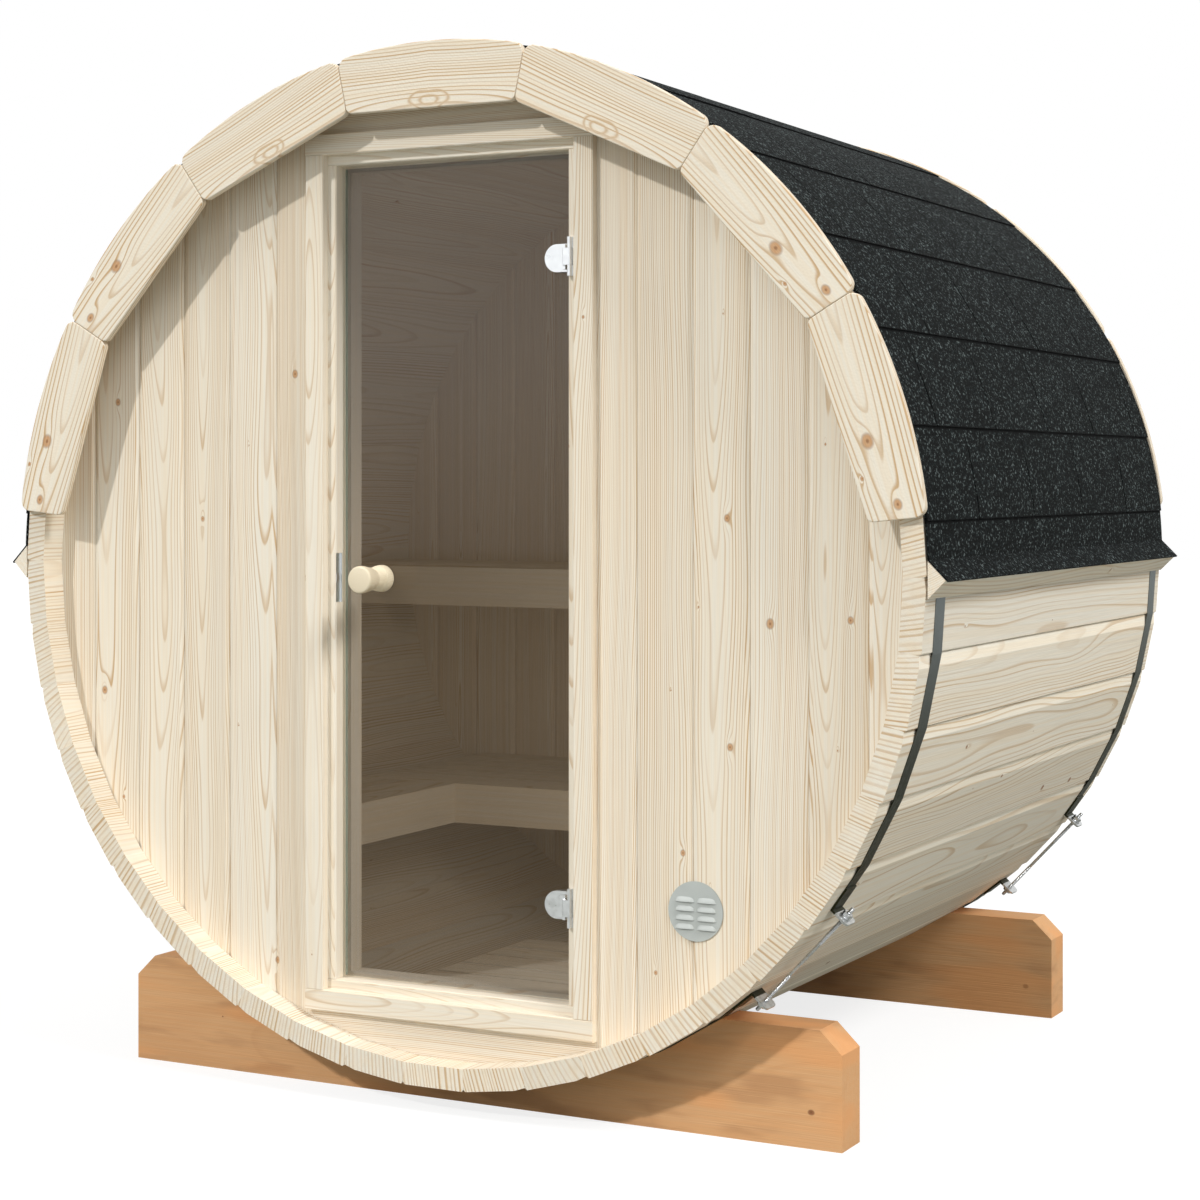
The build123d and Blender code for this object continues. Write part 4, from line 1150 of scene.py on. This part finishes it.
def tension_screw(place, pitch):
    """Stud with threaded ends and a thinner shank, and a washer and a nut outside each lug."""
    middle, along = screw_frame(place)
    shank = 0.040
    seat = 0.1085 + 0.004 + 0.0003
    profile = [(-shank - 0.002, 0.0033), (-shank, 0.0034), (shank, 0.0034), (shank + 0.002, 0.0033)]
    shells = [turned(profile, middle, along, (0, 1, 0), 20)]
    for way in (-1, 1):
        end = seat + 0.0015 + 0.008 + 0.012
        shells.append(threaded(middle, along * way, shank, end, 0.004, pitch, 0.0008))
        washer = [(seat, 0.0045), (seat, 0.0107), (seat + 0.0003, 0.011), (seat + 0.0012, 0.011),
                  (seat + 0.0015, 0.0107), (seat + 0.0015, 0.0045)]
        shells.append(turned(washer, middle, along * way, (0, 1, 0), 32))
        shells.append(nut(middle, along * way, seat + 0.0015, seat + 0.0095, 0.017))
    return shells


def screw_heads(places, direction, side, radius, corners=14):
    """Small countersunk heads: a shallow dome with a rim, one at each place."""
    profile = [(-0.0008, radius * 0.6), (0.0, radius), (0.00035, radius * 0.95), (0.0005, radius * 0.5),
               (0.00025, radius * 0.3), (0.0002, radius * 0.05)]
    return [turned(profile, place, direction, side, corners) for place in places]


# ---------------------------------------------------------------- operators


class SAUNA_OT_wood(bpy.types.Operator):
    """Finish the staves, walls, door frame, rails, benches and skids"""

    bl_idname = "sauna.wood"
    bl_label = "Finish the woodwork"

    def execute(self, context):
        wood = context.scene.sauna_wood
        growth_rings()
        # The staves' shading paints their bevels lighter and the rest darker: painted highlight and painted shade.
        stave_wood = spruce("stave_boards", staves, wood, knots=0.4, slant=0.012, sideways=0.14, contrast=0.95,
                            rings=1.7, tone_range=0.10, knot=(150, 104, 66), grain=(460, 9, 460), shading=stave_painted_bevel_light)
        first = 0
        for number, count in enumerate(STAVE_RUNS, start=1):
            make_piece(f"stave_run_{number:02d}", stave_shells(first, count), stave_wood, "barrel",
                       [f"staves_{number:02d}"], sharp=8)
            first += count
        wall_wood = spruce("wall_boards", upright, wood, slant=-0.014, contrast=1.15,
                           spots=[(wall_spots, WALL_KNOTS)])
        rear_wood = spruce("rear_wall_boards", upright, wood, slant=-0.014, contrast=1.15)
        rim, beside, leaf = 0.9410, FRAME_HALF + SEAT, FIRST_JOINT + 2 * BOARD_WIDTH
        for name, start, stop, end, finish in (
            ("front_wall_left", -rim, -beside, -1, wall_wood), ("front_wall_right", beside, rim, -1, wall_wood),
            ("rear_wall_left", -rim, -leaf, 1, rear_wood), ("rear_wall_middle", -leaf, leaf, 1, rear_wood),
            ("rear_wall_right", leaf, rim, 1, rear_wood),
        ):
            make_piece(f"boards_{name}", wall_boards(start, stop, end), finish, "barrel", [name],
                       sharp=10)
        dress(spruce("level_boards", level, wood, grain=(9, 460, 460)), "wall_over_door", "wall_under_door")
        dress(spruce("jamb_boards", jambs, wood, slant=-0.02, sideways=0.05), "door_jamb_left", "door_jamb_right")
        dress(spruce("head_boards", heads, wood, sideways=0.05, grain=(9, 460, 460)), "door_head", "door_sill")
        dress(spruce("eave_rail_wood", rails, wood, slant=0.003, sideways=0.3, contrast=0.5, grain=(460, 9, 460)),
              "eave_batten_left", "eave_batten_right")
        dress(spruce("bench_boards", bench_boards, wood, grain=(9, 460, 460)), "upper_bench", "lower_bench",
              "duckboard")
        dress(spruce("side_bench_boards", side_bench_boards, wood, grain=(460, 9, 460)), "side_bench")
        dress(skid_finish(wood), "front_skid", "rear_skid")
        return {"FINISHED"}


class SAUNA_OT_trim(bpy.types.Operator):
    """Build the arches of trim boards at both ends"""

    bl_idname = "sauna.trim"
    bl_label = "Build the trim boards"

    def execute(self, context):
        trim = context.scene.sauna_trim
        wood = spruce("trim_boards", trim_boards, context.scene.sauna_wood, knots=0.0, slant=0.022, sideways=0.0,
                      contrast=1.5, rings=1.35, spots=[(trim_spots, TRIM_KNOTS)], eyes=trim_eyes, grain=(240, 90, 240))
        make_piece("front_trim_boards", trim_arch(trim, -1), wood, "barrel", ["front_fascia"])
        make_piece("rear_trim_boards", trim_arch(trim, 1), wood, "barrel", ["rear_fascia"])
        return {"FINISHED"}


class SAUNA_OT_roof(bpy.types.Operator):
    """Build the shingle courses on both sides of the ridge"""

    bl_idname = "sauna.roof"
    bl_label = "Build the shingles"

    def execute(self, context):
        roof = context.scene.sauna_roof
        finish = granule_finish(roof)
        for name, side, seed in (("left", -1, 3), ("right", 1, 8)):
            points, faces, slot_painted_shade = shingle_side(roof, side, seed)
            piece = make_piece(f"shingles_{name}", [(points, faces)], finish, "barrel",
                               [f"roofing_{name}"], sharp=25)
            piece.data.attributes.new("slot", "FLOAT", "POINT").data.foreach_set("value", slot_painted_shade)
        return {"FINISHED"}


class SAUNA_OT_metalwork(bpy.types.Operator):
    """Finish the bands and build their screws and the vent"""

    bl_idname = "sauna.metalwork"
    bl_label = "Build the metalwork"

    def execute(self, context):
        metal = context.scene.sauna_metal
        dress(metal_finish("strapping_steel", tuple(metal.band), 0.42, tint=band_zinc_and_painted_reflection), "front_band", "rear_band")
        zinc = metal_finish("zinc_plate", tuple(metal.zinc), 0.28)
        for name, place in (("front", -END + 0.074), ("rear", END - 0.055)):
            make_piece(f"{name}_band_screw", tension_screw(place, metal.thread_pitch), zinc, "barrel",
                       [f"{name}_tensioner"])
        make_piece("pressed_vent", vent_shells(), vent_finish(), "barrel", ["vent_grille"])
        return {"FINISHED"}


class SAUNA_OT_door(bpy.types.Operator):
    """Finish the glass, hinges and catch and build the knob"""

    bl_idname = "sauna.door"
    bl_label = "Finish the door"

    def execute(self, context):
        dress(glass_finish(), "door_glass")
        satin = metal_finish("satin_hinge_metal", paint(240, 243, 246), 0.34, streak=0.06, spangle=0.02, cloudy=0.03)
        dress(satin, "door_hinges", "jamb_hinges", "door_catch")
        make_piece("turned_knob", knob_shells(), knob_finish(context.scene.sauna_wood), "door",
                   ["door_knob"])
        return {"FINISHED"}


class SAUNA_OT_stage(bpy.types.Operator):
    """Lay the floor, set the lights and place the camera"""

    bl_idname = "sauna.stage"
    bl_label = "Set the stage"

    def execute(self, context):
        stage = context.scene.sauna_stage
        half = stage.floor / 2
        mesh = bpy.data.meshes.new("floor")
        corners = np.array([(-half, -half, 0), (half, -half, 0), (half, half, 0), (-half, half, 0)], float)
        mesh.from_pydata(corners.tolist(), [], [(0, 1, 2, 3)])
        floor = bpy.data.objects.new("floor", mesh)
        context.scene.collection.objects.link(floor)
        mesh.materials.append(self.floor_finish())
        self.light(context, stage)
        camera = bpy.data.cameras.new("photo_camera")
        camera.lens, camera.sensor_width = 73.91, 36
        camera.shift_x, camera.shift_y = 0, -0.1023
        eye = bpy.data.objects.new("photo_camera", camera)
        eye.location = (2.4151, -4.6875, 1.1930)
        eye.rotation_euler = (math.radians(90), 0, math.radians(27.642))
        context.scene.collection.objects.link(eye)
        context.scene.camera = eye
        context.scene.view_settings.view_transform = "Standard"
        return {"FINISHED"}

    def floor_finish(self):
        """White towards the camera where light falls, with the object's shadow kept, and pale elsewhere."""
        material = bpy.data.materials.new("pale_floor")
        material.use_nodes = True
        tree = material.node_tree
        tree.nodes.clear()
        seen = node(tree, "ShaderNodeBsdfDiffuse", {"Color": (0.24, 0.24, 0.24)})
        glow = node(tree, "ShaderNodeEmission", {"Color": (1, 1, 1), "Strength": 0.80})
        both = node(tree, "ShaderNodeAddShader", {0: seen.outputs[0], 1: glow.outputs[0]})
        pale = node(tree, "ShaderNodeBsdfDiffuse", {"Color": (0.29, 0.30, 0.275)})
        path = tree.nodes.new("ShaderNodeLightPath")
        pick = node(tree, "ShaderNodeMixShader", {0: path.outputs["Is Camera Ray"], 1: pale.outputs[0],
                                                 2: both.outputs[0]})
        node(tree, "ShaderNodeOutputMaterial", {0: pick.outputs[0]})
        return material

    def light(self, context, stage):
        """Even light from all sides, white where it is seen directly, and a soft key light."""
        world = bpy.data.worlds.new("studio")
        world.use_nodes = True
        context.scene.world = world
        tree = world.node_tree
        tree.nodes.clear()
        path = tree.nodes.new("ShaderNodeLightPath")
        rays = [Term(tree, path.outputs[f"Is {kind} Ray"]) for kind in ("Camera", "Glossy", "Transmission")]
        seen = (rays[0] + rays[1] + rays[2]).clamp()
        strength = seen * (1 - stage.sky) + stage.sky
        background = node(tree, "ShaderNodeBackground", {"Color": (1, 1, 1), "Strength": strength})
        node(tree, "ShaderNodeOutputWorld", {0: background.outputs[0]})
        self.sun_light(context, "key_light", stage.sun, 2.5, (1.0, 0.99, 0.97), (0.50, 1.0, -0.82))
        self.sun_light(context, "side_light", stage.side, 14, (1.0, 0.99, 0.97), (-0.66, 0.17, -0.70))
        lamp = bpy.data.lights.new("cabin_light", "AREA")
        lamp.energy, lamp.color, lamp.shape = stage.cabin, (1.0, 0.93, 0.82), "RECTANGLE"
        lamp.size, lamp.size_y = 0.22, 1.1
        cabin = bpy.data.objects.new("cabin_light", lamp)
        cabin.location = (0.45, -0.52, 0.88)
        cabin.rotation_euler = self.turned_to((-0.75, 0.66, 0))
        context.scene.collection.objects.link(cabin)

    def sun_light(self, context, name, strength, softness, colour, way):
        """A distant light that shines along a given way."""
        lamp = bpy.data.lights.new(name, "SUN")
        lamp.energy, lamp.angle, lamp.color = strength, math.radians(softness), colour
        light = bpy.data.objects.new(name, lamp)
        light.rotation_euler = self.turned_to(way)
        context.scene.collection.objects.link(light)

    def turned_to(self, way):
        """Turn that makes a lamp shine along a given way."""
        return math.atan2(math.hypot(way[0], way[1]), -way[2]), 0, -math.atan2(way[0], way[1])


class SAUNA_PT_panel(bpy.types.Panel):
    """Sizes, colours and the steps that build the sauna"""

    bl_idname = "SAUNA_PT_panel"
    bl_label = "Barrel sauna"
    bl_space_type = "VIEW_3D"
    bl_region_type = "UI"
    bl_category = "Sauna"

    def draw(self, context):
        for name, (group, steps) in STEPS.items():
            box = self.layout.box()
            settings = getattr(context.scene, name)
            for field in group.__annotations__:
                box.prop(settings, field)
            for step in steps:
                box.operator(step.bl_idname)


STEPS = {
    "sauna_wood": (WoodSettings, (SAUNA_OT_wood, SAUNA_OT_door)),
    "sauna_trim": (TrimSettings, (SAUNA_OT_trim,)),
    "sauna_roof": (RoofSettings, (SAUNA_OT_roof,)),
    "sauna_metal": (MetalSettings, (SAUNA_OT_metalwork,)),
    "sauna_stage": (StageSettings, (SAUNA_OT_stage,)),
}


def register():
    for name, (group, steps) in STEPS.items():
        bpy.utils.register_class(group)
        setattr(bpy.types.Scene, name, PointerProperty(type=group))
        for step in steps:
            bpy.utils.register_class(step)
    bpy.utils.register_class(SAUNA_PT_panel)


def unregister():
    bpy.utils.unregister_class(SAUNA_PT_panel)
    for name, (group, steps) in STEPS.items():
        for step in steps:
            bpy.utils.unregister_class(step)
        delattr(bpy.types.Scene, name)
        bpy.utils.unregister_class(group)


def main():
    register()
    bpy.ops.sauna.wood()
    bpy.ops.sauna.trim()
    bpy.ops.sauna.roof()
    bpy.ops.sauna.metalwork()
    bpy.ops.sauna.door()
    bpy.ops.sauna.stage()


if __name__ == "__main__":
    main()
